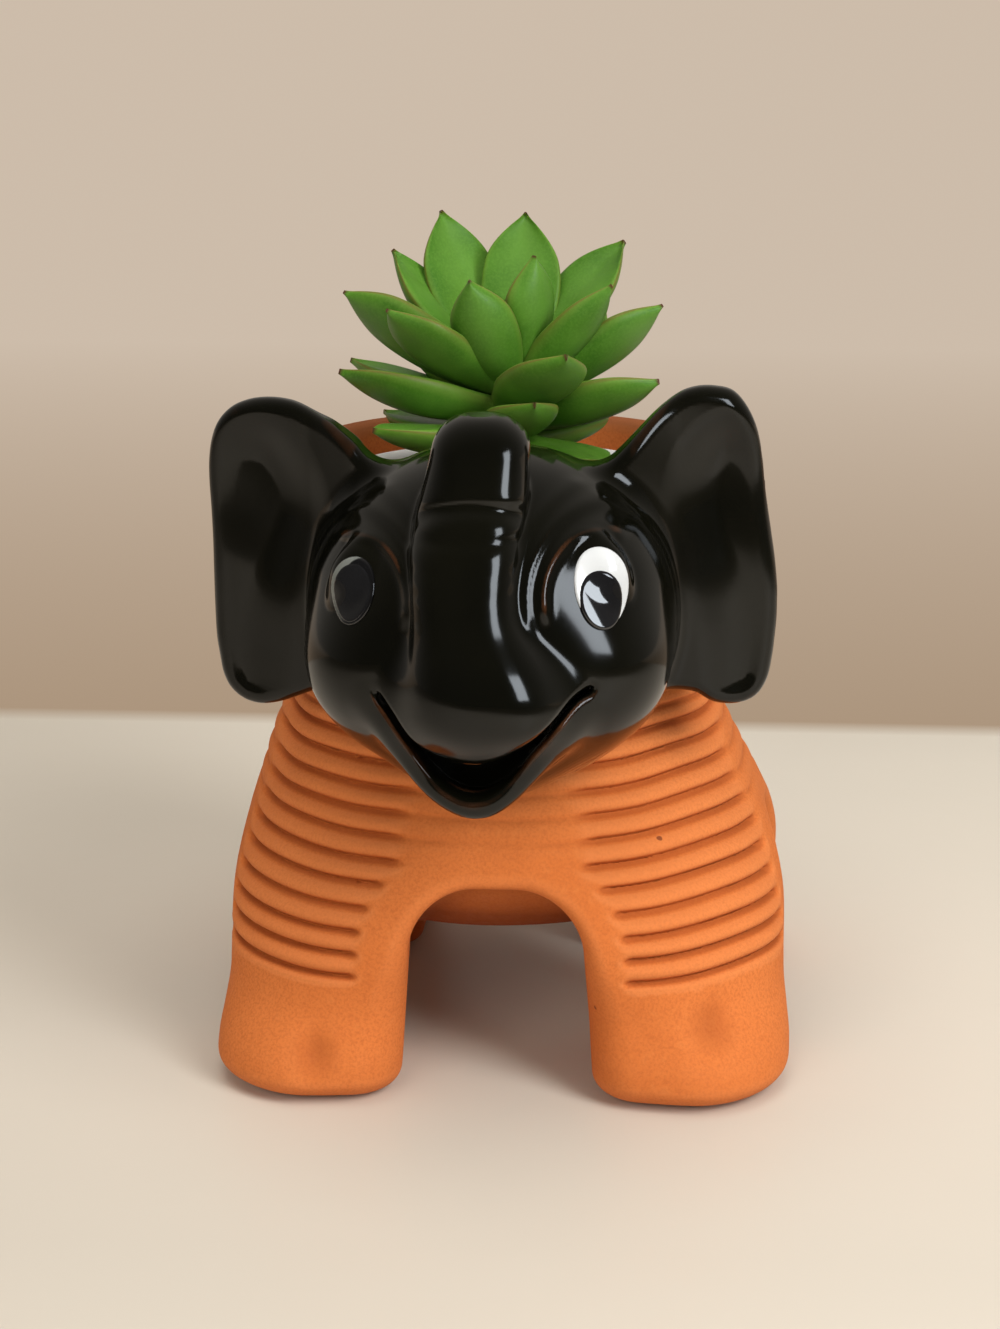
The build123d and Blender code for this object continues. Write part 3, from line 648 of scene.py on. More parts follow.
head_points, head_faces = surface(glazed_head, (-69, -95, 76), (69, -8, 176), (0.66, 0.66, 0.66), 300000)
head_values = {"relief": hollows(glazed_head, head_points)}
centre = head_points[head_faces].mean(1)
parts = np.stack(head_parts(*centre.T))
parts[1] += 30.0 * (centre[:, 2] > np.interp(centre[:, 0], *LIP_LOWER) + 4.0)
nearest = np.argmin(parts, axis=0)
for index, node in enumerate(("head_shell", "lower_jaw", "trunk", "ear_left", "ear_right")):
    faces = head_faces[nearest == index]
    pieces[node] = field_piece(f"{node}_glazed", glazed_head, head_points, faces, head_values)


# Eyes, as thick spots of glaze that follow the eyeballs

def glaze_spot(x, y, z, centre, half, turn, raised, tilt):
    """A spot of glaze on the head: an oval seen along its own facing, raised a little."""
    c, s = math.cos(turn), math.sin(turn)
    dx, dz = x - centre[0], z - centre[2]
    across = dx * c + (y - centre[1]) * s
    tilted = across * math.cos(tilt) + dz * math.sin(tilt)
    rise = dz * math.cos(tilt) - across * math.sin(tilt)
    oval = (np.hypot(tilted / half[0], rise / half[1]) - 1) * min(half)
    facing = (y - centre[1]) * c - dx * s
    skin = glazed_head(x, y, z)
    spot = round_max(skin - raised, oval, raised * 0.9)
    return np.maximum(np.maximum(spot, -skin - 0.6), facing - 7.0)


# Middle, half sizes, turn to the side, height above the head and tilt of each spot
SPOTS = {
    "eye_left": (EYES[-1], (5.7, 7.2), -0.50, 0.50, 0.10),
    "eye_right": (EYES[1], (6.6, 8.2), 0.46, 0.50, -0.06),
    "pupil_left": ((-26.3, -65.0, 131.3), (4.9, 6.4), -0.50, 0.62, 0.10),
    "pupil_right": ((23.2, -65.8, 131.0), (5.3, 6.3), 0.46, 0.85, 0.0),
}
for node, shape in SPOTS.items():
    def spot_field(x, y, z, shape=shape):
        return glaze_spot(x, y, z, *shape)

    at = np.array(shape[0])
    low, high = at - (11, 10, 11), at + (11, 12, 11)
    points, faces = surface(spot_field, low, high, (0.33, 0.33, 0.33), 20000)
    pieces[node] = field_piece(f"{node}_glazed", spot_field, points, faces)


# Turned forms

def ring_faces(rings, around):
    """Quads between rings of points that all have as many points."""
    i, j = np.meshgrid(np.arange(rings - 1), np.arange(around), indexing="ij")
    m = (j + 1) % around
    corners = [i * around + j, i * around + m, (i + 1) * around + m, (i + 1) * around + j]
    return np.stack(corners, -1).reshape(-1, 4)


def turned(name, profile, segments, shape=None):
    """A form turned about the body's axis from (radius, height) points."""
    profile = np.array(profile, float)
    turn = np.arange(segments) / segments * 2 * math.pi
    radius, height = profile[:, 0][:, None], profile[:, 1][:, None]
    grid = np.stack([radius * np.cos(turn), radius * np.sin(turn), height + 0 * turn], -1)
    if shape:
        grid = shape(grid, turn)
    grid = grid + np.array([0, BODY_Y, 0])
    mesh = mesh_arrays(name, grid.reshape(-1, 3), ring_faces(len(profile), segments))
    with opened(mesh) as work:
        bmesh.ops.remove_doubles(work, verts=work.verts, dist=1e-6)
        bmesh.ops.dissolve_degenerate(work, edges=work.edges, dist=1e-7)
        bmesh.ops.recalc_face_normals(work, faces=work.faces)
    mesh.shade_smooth()
    return place(name, mesh)


POT_BASE = 45.3
POT_HOLES, POT_HOLE_RADIUS, POT_HOLE_RING = 6, 2.5, 20
pot_profile = [
    (0, POT_BASE + 1.6), (17, POT_BASE + 1.2), (27.5, POT_BASE + 0.5), (30.2, POT_BASE),
    (31.0, POT_BASE + 0.5), (31.5, POT_BASE + 3.0), (36.2, 92.0), (41.1, 134.6), (41.4, 135.8),
    (42.6, 136.1), (44.0, 136.3), (44.5, 137.0), (44.45, 138.2), (43.9, 138.85), (43.0, 139.0),
    (42.1, 138.7), (41.3, 137.6), (40.8, 136.0), (40.2, 132.0), (35.0, 92.0), (30.4, POT_BASE + 3.4),
    (29.6, POT_BASE + 1.9), (27.0, POT_BASE + 1.7), (17, POT_BASE + 2.4), (0, POT_BASE + 2.8),
]


def pot_ribs(grid, turn):
    """Shallow upright flutes on the pot's wall."""
    height = grid[..., 2]
    flute = 1 + 0.006 * np.cos(36 * turn) * ease(height, 52, 60) * (1 - ease(height, 122, 130))
    grid[..., :2] *= flute[..., None]
    return grid


def drill(number):
    """A rod through the pot's base, for one of its drain holes."""
    angle = number * 2 * math.pi / POT_HOLES
    middle = (POT_HOLE_RING * math.cos(angle), BODY_Y + POT_HOLE_RING * math.sin(angle), POT_BASE + 1.5)
    radius = POT_HOLE_RADIUS * MM
    mesh = bpy.data.meshes.new("drill")
    with opened(mesh) as work:
        bmesh.ops.create_cone(work, cap_ends=True, segments=24, radius1=radius, radius2=radius, depth=8 * MM)
        bmesh.ops.translate(work, verts=work.verts, vec=Vector(middle) * MM)
    return place(f"drill_{number}", mesh)


pot = turned("nursery_pot_moulded", pot_profile, 144, pot_ribs)
drills = [drill(number) for number in range(POT_HOLES)]
for rod in drills:
    cut = pot.modifiers.new("hole", "BOOLEAN")
    cut.operation, cut.solver, cut.object = "DIFFERENCE", "EXACT", rod
mesh = baked(pot)
for rod in drills:
    bpy.data.objects.remove(rod)
mesh.name = "nursery_pot_moulded"
pieces["nursery_pot"] = place("nursery_pot_moulded", mesh)

SOIL_TOP, SOIL_CROWN, SOIL_RADIUS, GRAINS = 133.0, 1.6, 40.0, 170
ROUGHNESS = ((13.0, 1.0), (6.0, 0.7), (3.1, 0.55), (1.7, 0.35))


def crumbs(p, seed):
    """Rough height of potting mix at points across the pot."""
    total = 0
    for size, height in ROUGHNESS:
        total = total + height * waves(p[..., 0], p[..., 1], 0, size, seed + int(size * 10), 8)
    return total


def rough_soil(grid, turn):
    lift = ease(grid[..., 2], SOIL_TOP - 2.5, SOIL_TOP - 0.5)
    grid[..., 2] += 0.8 * crumbs(grid, 40) * lift
    return grid


def soil_height(radius):
    return SOIL_TOP + SOIL_CROWN * (1 - (radius / SOIL_RADIUS) ** 2)


soil_profile = [(0, 47.4), (28.5, 47.6), (30.0, 49.5), (34.0, 90.0), (38.6, 128.0), (39.4, 131.8)]
soil_profile += [(radius, soil_height(radius)) for radius in np.linspace(0, 39.2, 70)[::-1]]
soil = turned("potting_soil_mix", soil_profile, 150, rough_soil)
rng = np.random.default_rng(7)
with opened(soil.data) as work:
    for grain in range(GRAINS):
        angle, radius = rng.uniform(0, 2 * math.pi), 38.0 * math.sqrt(rng.uniform(0.04, 1))
        size = rng.uniform(0.7, 2.1)
        stone = bmesh.ops.create_icosphere(work, subdivisions=2, radius=size * MM)
        stretch = Vector(rng.uniform(0.6, 1.2, 3))
        middle = (radius * math.cos(angle), BODY_Y + radius * math.sin(angle), soil_height(radius) + 0.5)
        for v in stone["verts"]:
            co = v.co
            bump = 1 + 0.16 * math.sin(co.x / MM * 3.1 + grain) * math.sin(co.y / MM * 2.7 + 1.3 * grain)
            v.co = Vector(c * s * bump for c, s in zip(co, stretch)) + Vector(middle) * MM
soil.data.shade_smooth()
pieces["potting_soil"] = soil

STEM_TOP = 165.0
stem_profile = [(0, 125.0), (5.4, 125.2), (6.3, 126.5)]
for step in range(31):
    height = 127.0 + step * 1.2
    radius = np.interp(height, [125, 133, 163.5], [6.5, 6.5, 2.7])
    stem_profile.append((radius * (1 - 0.07 * (step % 3 == 0)), height))
stem_profile += [(1.9, 164.4), (0, STEM_TOP)]
pieces["succulent_stem"] = turned("succulent_stem_scarred", stem_profile, 40)


# Leaves

# Heading and lift in degrees, shares of length, width and height on the stem, roll in degrees and bow
LEAF_PLACES = [
    (-33, 82, 0.38, 0.50, 0.98, 0, 8), (78, 77, 0.41, 0.55, 0.98, 0, 8),
    (-150, 74, 0.41, 0.55, 0.96, 0, 8), (-56, 67, 0.70, 0.78, 0.94, -6, 10),
    (-106, 51, 0.74, 0.82, 0.91, -14, 12), (73, 68, 0.90, 1.02, 0.87, -8, 9),
    (134, 59, 0.99, 1.06, 0.85, 8, 9), (27, 48, 0.95, 0.98, 0.86, -12, -2),
    (166, 48, 0.90, 0.80, 0.86, 8, 3), (-31, 43, 0.83, 0.66, 0.86, 16, 4),
    (-139, 31, 0.86, 0.94, 0.89, -16, 3), (97, 37, 0.90, 0.95, 0.75, 0, 10),
    (-175, 31, 0.94, 0.98, 0.86, -38, 0), (52, 30, 0.89, 0.92, 0.73, 0, 6),
    (-65, 24, 0.84, 1.02, 0.77, 6, 5), (-4, 31, 0.90, 0.88, 0.81, 30, 5),
    (131, 24, 0.89, 0.92, 0.71, 0, 6), (74, 16, 0.85, 0.92, 0.67, 0, 4),
    (159, 13, 0.90, 0.80, 0.69, -10, 2), (-77, 19, 0.69, 0.86, 0.58, 4, 2),
    (-161, 15, 0.88, 1.02, 0.71, -24, 4), (-21, 16, 0.83, 0.94, 0.67, 26, 4),
    (26, 10, 0.81, 0.88, 0.62, 0, 2), (-135, 8, 0.85, 0.90, 0.53, -8, 3), (105, 5, 0.84, 0.88, 0.53, 0, 3),
    (-46, 0, 0.77, 0.90, 0.49, 8, 3), (51, 4, 0.79, 0.85, 0.47, 0, 3), (146, 4, 0.80, 0.85, 0.47, 0, 3),
]
LEAF_WIDE = curve_table([
    (0, 0.52), (0.12, 0.63), (0.24, 0.76), (0.36, 0.89), (0.48, 0.98), (0.58, 1.0), (0.68, 0.97),
    (0.77, 0.86), (0.86, 0.60), (0.93, 0.31), (0.97, 0.12), (1.0, 0.015),
])
LEAF_THICK = curve_table([
    (0, 0.80), (0.2, 1.0), (0.45, 1.08), (0.65, 0.92), (0.82, 0.58), (0.93, 0.27), (0.97, 0.13), (1.0, 0.04),
])
LEAF_LONG, LEAF_BROAD, LEAF_DEEP, STEM_TALL = 50.0, 19.5, 7.2, 32.0


def leaf(number, azimuth, pitch, long_share, broad_share, seat_share, roll, bow):
    """A fleshy pointed leaf as rings of points along a bowed spine."""
    rng = np.random.default_rng(100 + number)
    turn, lift = math.radians(azimuth), math.radians(pitch)
    out = np.array([math.cos(turn) * math.cos(lift), math.sin(turn) * math.cos(lift), math.sin(lift)])
    up = np.array([-math.cos(turn) * math.sin(lift), -math.sin(turn) * math.sin(lift), math.cos(lift)])
    side, tilt = np.cross(out, up), math.radians(roll)
    side, up = side * math.cos(tilt) + up * math.sin(tilt), up * math.cos(tilt) - side * math.sin(tilt)
    foot = np.array([0, BODY_Y, SOIL_TOP + STEM_TALL * seat_share])
    start = (1 - seat_share) * 4.0
    length, width = long_share * LEAF_LONG, broad_share * LEAF_BROAD
    t = np.concatenate([np.linspace(0, 0.9, 34), np.linspace(0.92, 1.0, 10)])
    phi = np.arange(40) / 40 * 2 * math.pi
    tt, pp = np.meshgrid(t, phi, indexing="ij")
    wide = np.interp(tt, *LEAF_WIDE) * width / 2
    thick = np.interp(tt, *LEAF_THICK) * LEAF_DEEP / 2
    edge = np.cos(pp)
    face = np.sign(np.sin(pp)) * np.abs(np.sin(pp)) ** 0.85
    top = face > 0
    height = np.where(top, 0.72, 1.10) * thick * face
    cup = (0.085 + 0.03 * rng.uniform(-1, 1)) * width * ease(tt, 0.05, 0.5) * (1 - 0.35 * ease(tt, 0.8, 1.0))
    crease = 0.3 * np.exp(-(edge / 0.22) ** 2) * top * ease(tt, 0.1, 0.4) * (1 - ease(tt, 0.8, 0.95))
    height = height + cup * (edge ** 2 - 0.42) - crease
    bend = rng.uniform(-1.3, 1.3)
    twist = rng.uniform(-0.16, 0.16)
    sway = bend * tt ** 2
    c, s = np.cos(twist * tt), np.sin(twist * tt)
    across = edge * wide * (1 + 0.012 * np.sin(9 * tt + rng.uniform(0, 6)) * np.sign(edge))
    across, height = across * c - height * s, across * s + height * c
    spine = foot + out * (start + (length - start) * tt)[..., None] + up * (bow * tt * (tt - 1))[..., None]
    heading = out * (length - start) + up * (bow * (2 * tt - 1))[..., None]
    heading /= np.linalg.norm(heading, axis=-1)[..., None]
    normal = np.cross(side, heading)
    normal *= np.sign((normal * up).sum(-1))[..., None]
    grid = spine + side * (across + sway)[..., None] + normal * height[..., None]
    name = f"leaf_{number:02d}_fleshy"
    mesh = mesh_arrays(name, grid.reshape(-1, 3), ring_faces(*tt.shape))
    set_values(mesh, "along", tt.ravel())
    set_values(mesh, "edge", np.abs(edge).ravel())
    set_values(mesh, "top", np.clip(face.ravel(), 0, 1))
    with opened(mesh) as work:
        bmesh.ops.holes_fill(work, edges=[e for e in work.edges if e.is_boundary], sides=0)
        bmesh.ops.recalc_face_normals(work, faces=work.faces)
    mesh.shade_smooth()
    return place(name, mesh)


for number, shares in enumerate(LEAF_PLACES, start=1):
    pieces[f"leaf_{number:02d}"] = leaf(number, *shares)


# Materials

class Nodes:
    """A material's node tree, with short ways to add and join nodes."""

    def __init__(self, name, **values):
        self.material = bpy.data.materials.new(name)
        self.material.use_nodes = True
        self.tree = self.material.node_tree
        self.shader = self.tree.nodes["Principled BSDF"]
        for key, value in values.items():
            self.shader.inputs[key.replace("_", " ")].default_value = value

    def add(self, kind, inputs=None, **settings):
        node = self.tree.nodes.new(kind)
        for key, value in settings.items():
            setattr(node, key, value)
        for key, value in (inputs or {}).items():
            self.feed(value, node.inputs[key])
        return node

    def feed(self, value, socket):
        if isinstance(value, bpy.types.NodeSocket):
            self.tree.links.new(value, socket)
        else:
            socket.default_value = value

    def place(self):
        return self.add("ShaderNodeTexCoord").outputs["Object"]

    def axis(self, letter):
        return self.add("ShaderNodeSeparateXYZ", {"Vector": self.place()}).outputs[letter]

    def noise(self, scale, detail=2.0, rough=0.5, offset=(0, 0, 0)):
        at = self.add("ShaderNodeMapping", {"Vector": self.place(), "Location": offset}).outputs["Vector"]
        values = {"Vector": at, "Scale": scale, "Detail": detail, "Roughness": rough}
        return self.add("ShaderNodeTexNoise", values).outputs["Fac"]

    def value(self, name):
        return self.add("ShaderNodeAttribute", attribute_name=name).outputs["Fac"]

    def span(self, value, low, high, to_low=0.0, to_high=1.0):
        """A value stretched from one range to another, and held at its ends."""
        values = {"Value": value, "From Min": low, "From Max": high, "To Min": to_low, "To Max": to_high}
        return self.add("ShaderNodeMapRange", values).outputs["Result"]

    def distance(self, middle):
        """Distance from a place that is given in millimetres."""
        places = {0: self.place(), 1: tuple(v * MM for v in middle)}
        return self.add("ShaderNodeVectorMath", places, operation="DISTANCE").outputs["Value"]

    def maths(self, operation, a, b):
        node = self.add("ShaderNodeMath", operation=operation)
        self.feed(a, node.inputs[0])
        self.feed(b, node.inputs[1])
        return node.outputs[0]

    def mix(self, share, a, b):
        node = self.add("ShaderNodeMix", data_type="RGBA")
        for value, socket in ((share, node.inputs[0]), (a, node.inputs[6]), (b, node.inputs[7])):
            self.feed((*value, 1) if isinstance(value, tuple) and len(value) == 3 else value, socket)
        return node.outputs[2]

    def colour(self, value):
        self.feed(value, self.shader.inputs["Base Color"])

    def rough(self, value):
        self.feed(value, self.shader.inputs["Roughness"])

    def bump(self, height, strength, depth):
        node = self.add("ShaderNodeBump", {"Height": height, "Strength": strength, "Distance": depth * MM})
        self.feed(node.outputs["Normal"], self.shader.inputs["Normal"])


# Places in the toe hollows that get painted shade, and how far from them it starts and is fullest, in
# millimetres
HOLLOW_SHADES = ((-41.5, -50.0, 12.0), (53.5, -47.0, 20.5))
SHADE_OUT, SHADE_IN = 7.75, 1.86


def terracotta():
    """Sandy clay, paler on edges, with painted shade in the grooves, under the belly and in the toe hollows,
    darker brown towards the top of the rim, and a few specks.
    """
    m = Nodes("terracotta_sandy", Specular_IOR_Level=0.22)
    sand = m.noise(1500, 3, 0.6)
    coarse = m.noise(420, 2, 0.55, (3, 1, 2))
    cloud = m.noise(22, 3, 0.5, (1, 5, 2))
    relief = m.value("relief")
    height = m.axis("Z")
    colour = m.mix(m.span(cloud, 0.3, 0.7), (0.60, 0.158, 0.035), (0.67, 0.190, 0.046))
    colour = m.mix(m.span(sand, 0.30, 0.58), (0.53, 0.134, 0.030), colour)
    colour = m.mix(m.maths("MULTIPLY", m.span(coarse, 0.58, 0.72), 0.16), colour, (0.74, 0.26, 0.085))
    # Painted shade where the surface curves in
    colour = m.mix(m.span(relief, -0.06, -0.8, 0, 0.55), colour, (0.38, 0.085, 0.018))
    colour = m.mix(m.span(relief, 0.06, 0.5, 0, 0.32), colour, (0.76, 0.26, 0.085))
    # Painted shade in the grooves between the ribs, darker where they are deeper
    colour = m.mix(m.maths("MULTIPLY", m.value("groove"), 0.28), colour, (0.34, 0.072, 0.014))
    # Painted shade under the belly, inside the arches between the legs
    inner = m.span(m.distance((0, BODY_Y, 30.0)), 69 * MM, 57 * MM, 0, 0.85)
    shade = m.maths("MULTIPLY", inner, m.span(height, 26 * MM, 38 * MM))
    colour = m.mix(shade, colour, (0.14, 0.024, 0.004))
    # Painted shade in the hollows between the toes
    for middle in HOLLOW_SHADES:
        shade = m.span(m.distance(middle), SHADE_OUT * MM, SHADE_IN * MM, 0, 0.5)
        colour = m.mix(shade, colour, (0.36, 0.085, 0.018))
    # Darker brown towards the top of the rim, with a cloudy lower edge
    rim = m.maths("ADD", height, m.maths("MULTIPLY", cloud, 4 * MM))
    rim_darkening = m.maths("MULTIPLY", m.span(rim, 144.5 * MM, 147.5 * MM), 0.75)
    colour = m.mix(rim_darkening, colour, (0.16, 0.055, 0.022))
    speck = m.span(m.noise(230, 0, 0.4, (7, 7, 1)), 0.86, 0.875, 0, 0.8)
    colour = m.mix(speck, colour, (0.16, 0.035, 0.014))
    m.colour(colour)
    m.rough(m.span(coarse, 0.3, 0.7, 0.74, 0.92))
    grain = m.maths("ADD", m.maths("MULTIPLY", sand, 0.6), m.maths("MULTIPLY", coarse, 0.8))
    m.bump(grain, 0.45, 0.12)
    return m.material


def black_glaze():
    """Black glaze that breaks brown on edges."""
    m = Nodes("black_glaze_pooled", Specular_IOR_Level=0.34, Coat_Weight=0.05, Coat_Roughness=0.06)
    relief = m.value("relief")
    cloud = m.noise(38, 3, 0.5, (2, 0, 4))
    fine = m.noise(900, 2, 0.5)
    colour = m.mix(m.span(cloud, 0.35, 0.7), (0.0018, 0.0018, 0.0009), (0.0034, 0.0032, 0.0016))
    patchy = m.span(m.noise(160, 3, 0.6, (5, 2, 2)), 0.3, 0.6, 0.35, 1)
    broken = m.maths("MULTIPLY", m.span(relief, 0.42, 1.1), patchy)
    colour = m.mix(broken, colour, (0.085, 0.030, 0.011))
    m.colour(colour)
    m.rough(m.span(m.noise(60, 2, 0.5, (9, 1, 1)), 0.3, 0.7, 0.09, 0.16))
    m.bump(m.maths("ADD", m.maths("MULTIPLY", fine, 0.10), m.noise(70, 2, 0.5, (4, 4, 4))), 0.22, 0.10)
    return m.material


def eye_black():
    """Black glaze with the thin pale line round its edge."""
    m = Nodes("black_glaze_ringed", Specular_IOR_Level=0.55, Coat_Weight=0.35, Coat_Roughness=0.04)
    middle, half, turn = SPOTS["eye_left"][:3]
    across = m.maths("SUBTRACT", m.axis("X"), middle[0] * MM)
    across = m.maths("MULTIPLY", across, 1 / (half[0] * MM * math.cos(turn)))
    rise = m.maths("MULTIPLY", m.maths("SUBTRACT", m.axis("Z"), middle[2] * MM), 1 / (half[1] * MM))
    squared = m.maths("ADD", m.maths("MULTIPLY", across, across), m.maths("MULTIPLY", rise, rise))
    edge = m.span(squared, 0.93, 0.99)
    side = m.maths("SUBTRACT", m.maths("MULTIPLY", rise, 0.8), across)
    ring = m.maths("MULTIPLY", edge, m.span(side, 0.0, 1.2, 0.0, 0.7))
    m.colour(m.mix(ring, (0.0035, 0.0035, 0.0040), (0.20, 0.21, 0.19)))
    m.rough(m.span(m.noise(60, 2, 0.5), 0.3, 0.7, 0.05, 0.10))
    return m.material


def plain_finish(name, tone, low, colours, gloss, relief=None, **values):
    """A finish whose colour and gloss vary a little, with fine relief if it has any."""
    m = Nodes(name, **values)
    m.colour(m.mix(m.span(m.noise(*tone), low, 0.7), *colours))
    scale, smooth, rough = gloss
    m.rough(m.span(m.noise(scale), 0.3, 0.7, smooth, rough))
    if relief:
        scale, strength, depth = relief
        m.bump(m.noise(scale), strength, depth)
    return m.material


def potting_mix():
    m = Nodes("soil_crumbly", Specular_IOR_Level=0.2)
    crumb = m.noise(520, 4, 0.65)
    colour = m.mix(m.span(crumb, 0.35, 0.7), (0.020, 0.012, 0.007), (0.085, 0.050, 0.028))
    grit = m.span(m.noise(240, 1, 0.4, (2, 8, 3)), 0.66, 0.70)
    colour = m.mix(grit, colour, (0.42, 0.34, 0.25))
    m.colour(colour)
    m.rough(m.span(crumb, 0.3, 0.7, 0.85, 0.98))
    m.bump(crumb, 0.8, 0.5)
    return m.material


def leaf_skin():
    m = Nodes("leaf_waxy", Specular_IOR_Level=0.32, Subsurface_Weight=0.14, Subsurface_Scale=0.004)
    m.shader.inputs["Subsurface Radius"].default_value = (0.6, 1.0, 0.25)
    along, edge, top = m.value("along"), m.value("edge"), m.value("top")
    cloud = m.noise(75, 3, 0.5)
    speck = m.noise(1500, 2, 0.6, (4, 1, 1))
    colour = m.mix(m.span(cloud, 0.32, 0.68), (0.042, 0.130, 0.008), (0.080, 0.205, 0.018))
    colour = m.mix(m.span(speck, 0.42, 0.68, 0, 0.25), colour, (0.14, 0.29, 0.045))
    heart = m.maths("MULTIPLY", m.span(along, 0.30, 0.62), m.span(edge, 0.85, 0.2))
    colour = m.mix(m.maths("MULTIPLY", heart, 0.22), colour, (0.15, 0.30, 0.055))
    colour = m.mix(m.span(edge, 0.86, 0.99, 0, 0.35), colour, (0.16, 0.24, 0.035))
    colour = m.mix(m.span(along, 0.28, 0.0, 0, 0.7), colour, (0.12, 0.21, 0.035))
    rim = m.maths("MULTIPLY", m.span(edge, 0.985, 1.0), m.span(along, 0.35, 0.85, 0.1, 0.6))
    colour = m.mix(rim, colour, (0.17, 0.060, 0.026))
    colour = m.mix(m.span(along, 0.978, 0.996), colour, (0.060, 0.018, 0.011))
    m.colour(colour)
    m.rough(m.span(speck, 0.3, 0.7, 0.36, 0.52))
    m.bump(m.maths("ADD", m.maths("MULTIPLY", speck, 0.25), cloud), 0.25, 0.12)
    return m.material


FINISHES = {
    "black_glaze": black_glaze(), "terracotta": terracotta(), "leaf_green": leaf_skin(),
    "soil": potting_mix(),
    "white_glaze": plain_finish(
        "white_glaze_thick", (120,), 0.35, ((0.53, 0.54, 0.54), (0.59, 0.60, 0.60)), (60, 0.08, 0.15),
        (180, 0.15, 0.05), Specular_IOR_Level=0.5, Coat_Weight=0.3, Coat_Roughness=0.05,
    ),
    "pupil_glaze": plain_finish(
        "pupil_glaze_deep", (90,), 0.3, ((0.004, 0.004, 0.0045), (0.008, 0.008, 0.009)), (60, 0.04, 0.08),
        Specular_IOR_Level=0.6, Coat_Weight=0.5, Coat_Roughness=0.03,
    ),
    "pot_plastic": plain_finish(
        "pot_plastic_satin", (30, 3), 0.35, ((0.76, 0.76, 0.73), (0.84, 0.84, 0.82)), (400, 0.34, 0.46),
        (900, 0.12, 0.03), Specular_IOR_Level=0.5,
    ),
    "stem_green": plain_finish(
        "stem_waxy", (180, 3), 0.35, ((0.17, 0.20, 0.065), (0.30, 0.27, 0.12)), (400, 0.45, 0.6),
        (500, 0.4, 0.15), Specular_IOR_Level=0.4,
    ),
}
SLOTS = {node: "terracotta" for node in (*BODY_PIECES, "tail")}
SLOTS.update({
    "eye_right": "white_glaze", "pupil_left": "pupil_glaze", "pupil_right": "pupil_glaze",
    "nursery_pot": "pot_plastic", "potting_soil": "soil", "succulent_stem": "stem_green",
})
PLANT = ("nursery_pot", "potting_soil", "succulent_stem")
for node, piece in pieces.items():
    is_leaf = node.startswith("leaf_")
    slot = "leaf_green" if is_leaf else SLOTS.get(node, "black_glaze")
    piece.data.materials.clear()
    piece.data.materials.append(eye_black() if node == "eye_left" else FINISHES[slot])
    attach(piece, "plant" if is_leaf or node in PLANT else "planter")
    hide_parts(node)


# Floor, lamps and camera

FLOOR_CORNERS = [(-9000, -6000, 0), (9000, -6000, 0), (9000, 14000, 0), (-9000, 14000, 0)]
floor = place("floor", mesh_arrays("floor", FLOOR_CORNERS, np.array([(0, 1, 2, 3)])))
m = Nodes("floor_pale", Specular_IOR_Level=0.25)
at = m.axis("Y")
# Painted light and shade on the floor: darker in front of the planter and paler behind it
near = m.mix(m.span(at, -0.12, 0.22), (0.60, 0.540, 0.455), (0.83, 0.755, 0.64))
m.colour(m.mix(m.span(m.noise(3, 3, 0.5), 0.3, 0.7, 0, 0.12), near, (0.70, 0.61, 0.50)))
m.rough(m.span(m.noise(60, 2, 0.5), 0.3, 0.7, 0.40, 0.50))
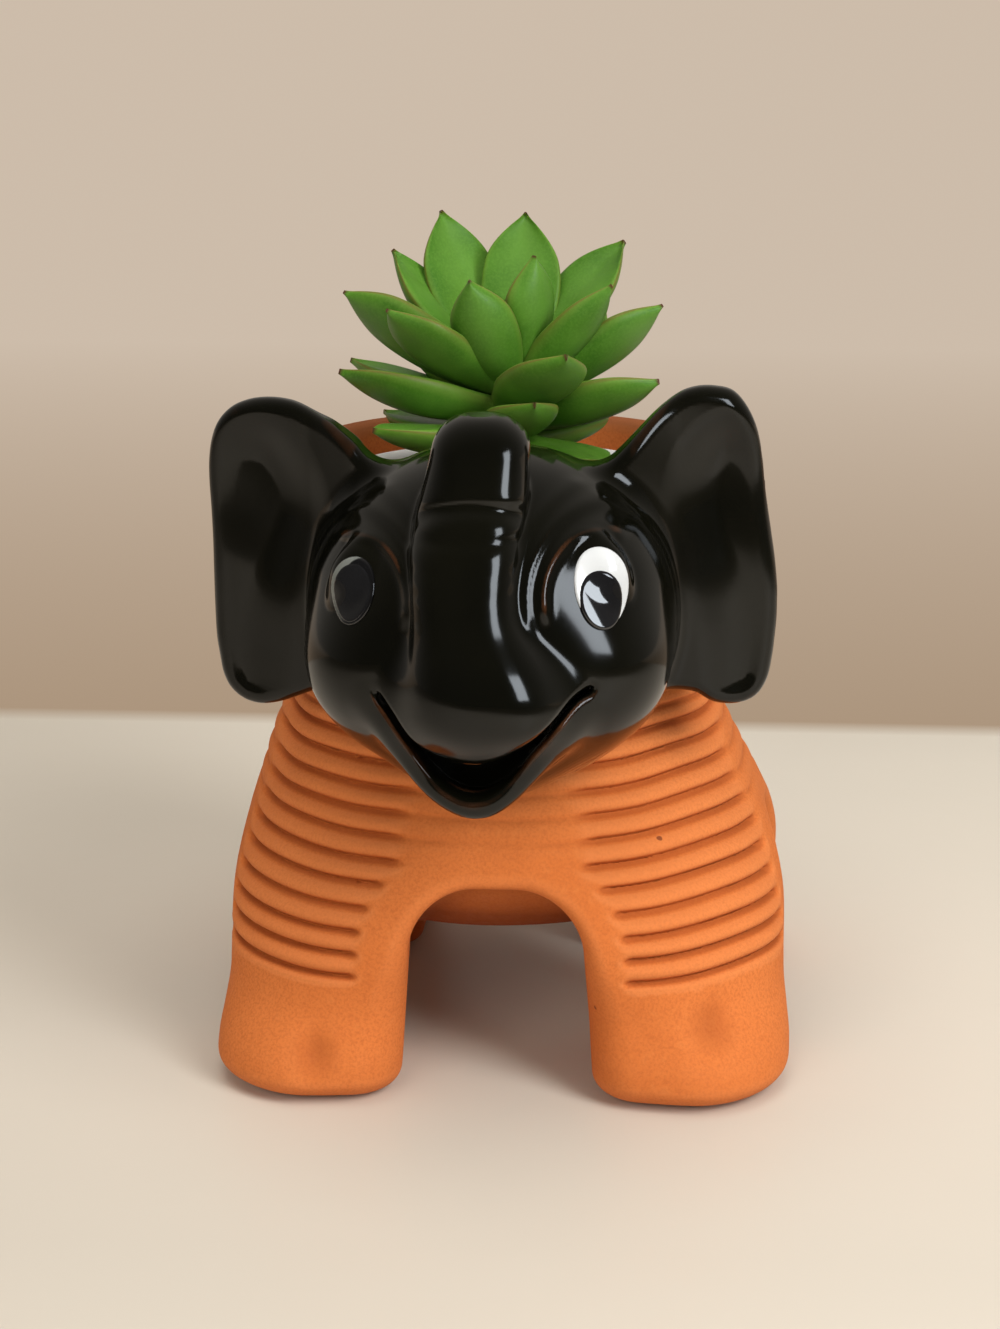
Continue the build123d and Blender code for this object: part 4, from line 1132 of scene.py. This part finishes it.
# Beyond the table edge the floor is a painted backdrop that glows for the camera and in reflections, with
# painted shade making it darker towards the table edge
wall = m.mix(m.span(at, 0.255, 1.1), (0.410, 0.300, 0.206), (0.610, 0.505, 0.404))
glow = m.add("ShaderNodeEmission", {"Color": wall})
rays = m.add("ShaderNodeLightPath").outputs
seen = m.maths("MAXIMUM", rays["Is Camera Ray"], rays["Is Glossy Ray"])
seen = m.maths("MAXIMUM", seen, rays["Is Transmission Ray"])
share = m.maths("MULTIPLY", seen, m.span(at, 0.252, 0.266))
both = m.add("ShaderNodeMixShader", {0: share, 1: m.shader.outputs["BSDF"], 2: glow.outputs["Emission"]})
m.tree.links.new(both.outputs["Shader"], m.tree.nodes["Material Output"].inputs["Surface"])
floor.data.materials.append(m.material)

world = bpy.data.worlds.new("room")
bpy.context.scene.world = world
world.use_nodes = True
tree = world.node_tree
way = tree.nodes.new("ShaderNodeSeparateXYZ")
tree.links.new(tree.nodes.new("ShaderNodeTexCoord").outputs["Generated"], way.inputs[0])
sides = tree.nodes.new("ShaderNodeMapRange")
sides.interpolation_type = "SMOOTHSTEP"
for key, value in (("From Min", -0.7), ("From Max", 0.9), ("To Min", 0.08), ("To Max", 0.45)):
    sides.inputs[key].default_value = value
tree.links.new(way.outputs["Y"], sides.inputs["Value"])
room = tree.nodes["Background"]
room.inputs["Color"].default_value = (0.86, 0.79, 0.70, 1)
tree.links.new(sides.outputs["Result"], room.inputs["Strength"])


def aim(obj, at, target):
    """Puts a lamp or the camera at a place and turns it to its target."""
    obj.location = Vector(at) * MM
    obj.rotation_euler = (Vector(target) * MM - obj.location).to_track_quat("-Z", "Y").to_euler()


def lamp(name, at, size, power, colour, mirrored=False):
    data = bpy.data.lights.new(name, "AREA")
    data.shape, data.size, data.size_y = "RECTANGLE", size[0] * MM, size[1] * MM
    data.energy, data.color = power, colour
    obj = place(name, data)
    aim(obj, at, (0, 0, 90))
    obj.visible_glossy = mirrored


lamp("window", (560, -520, 430), (230, 330), 2.4, (0.86, 0.93, 1.0), mirrored=True)
lamp("key", (480, -460, 640), (380, 380), 4.6, (1.0, 0.98, 0.95))
lamp("overhead", (-60, -150, 900), (700, 700), 4.0, (1.0, 0.98, 0.95))
lamp("front", (-320, -850, 420), (600, 500), 3.4, (1.0, 0.97, 0.93))

camera = place("camera", bpy.data.cameras.new("camera"))
aim(camera, (37.2, -616.8, 272.8), (0, -8.5, 98))
camera.data.sensor_fit = "VERTICAL"
camera.data.sensor_height = 36.0
camera.data.lens = 70.43
camera.data.clip_end = 60.0
bpy.context.scene.camera = camera
bpy.context.scene.view_settings.view_transform = "Standard"
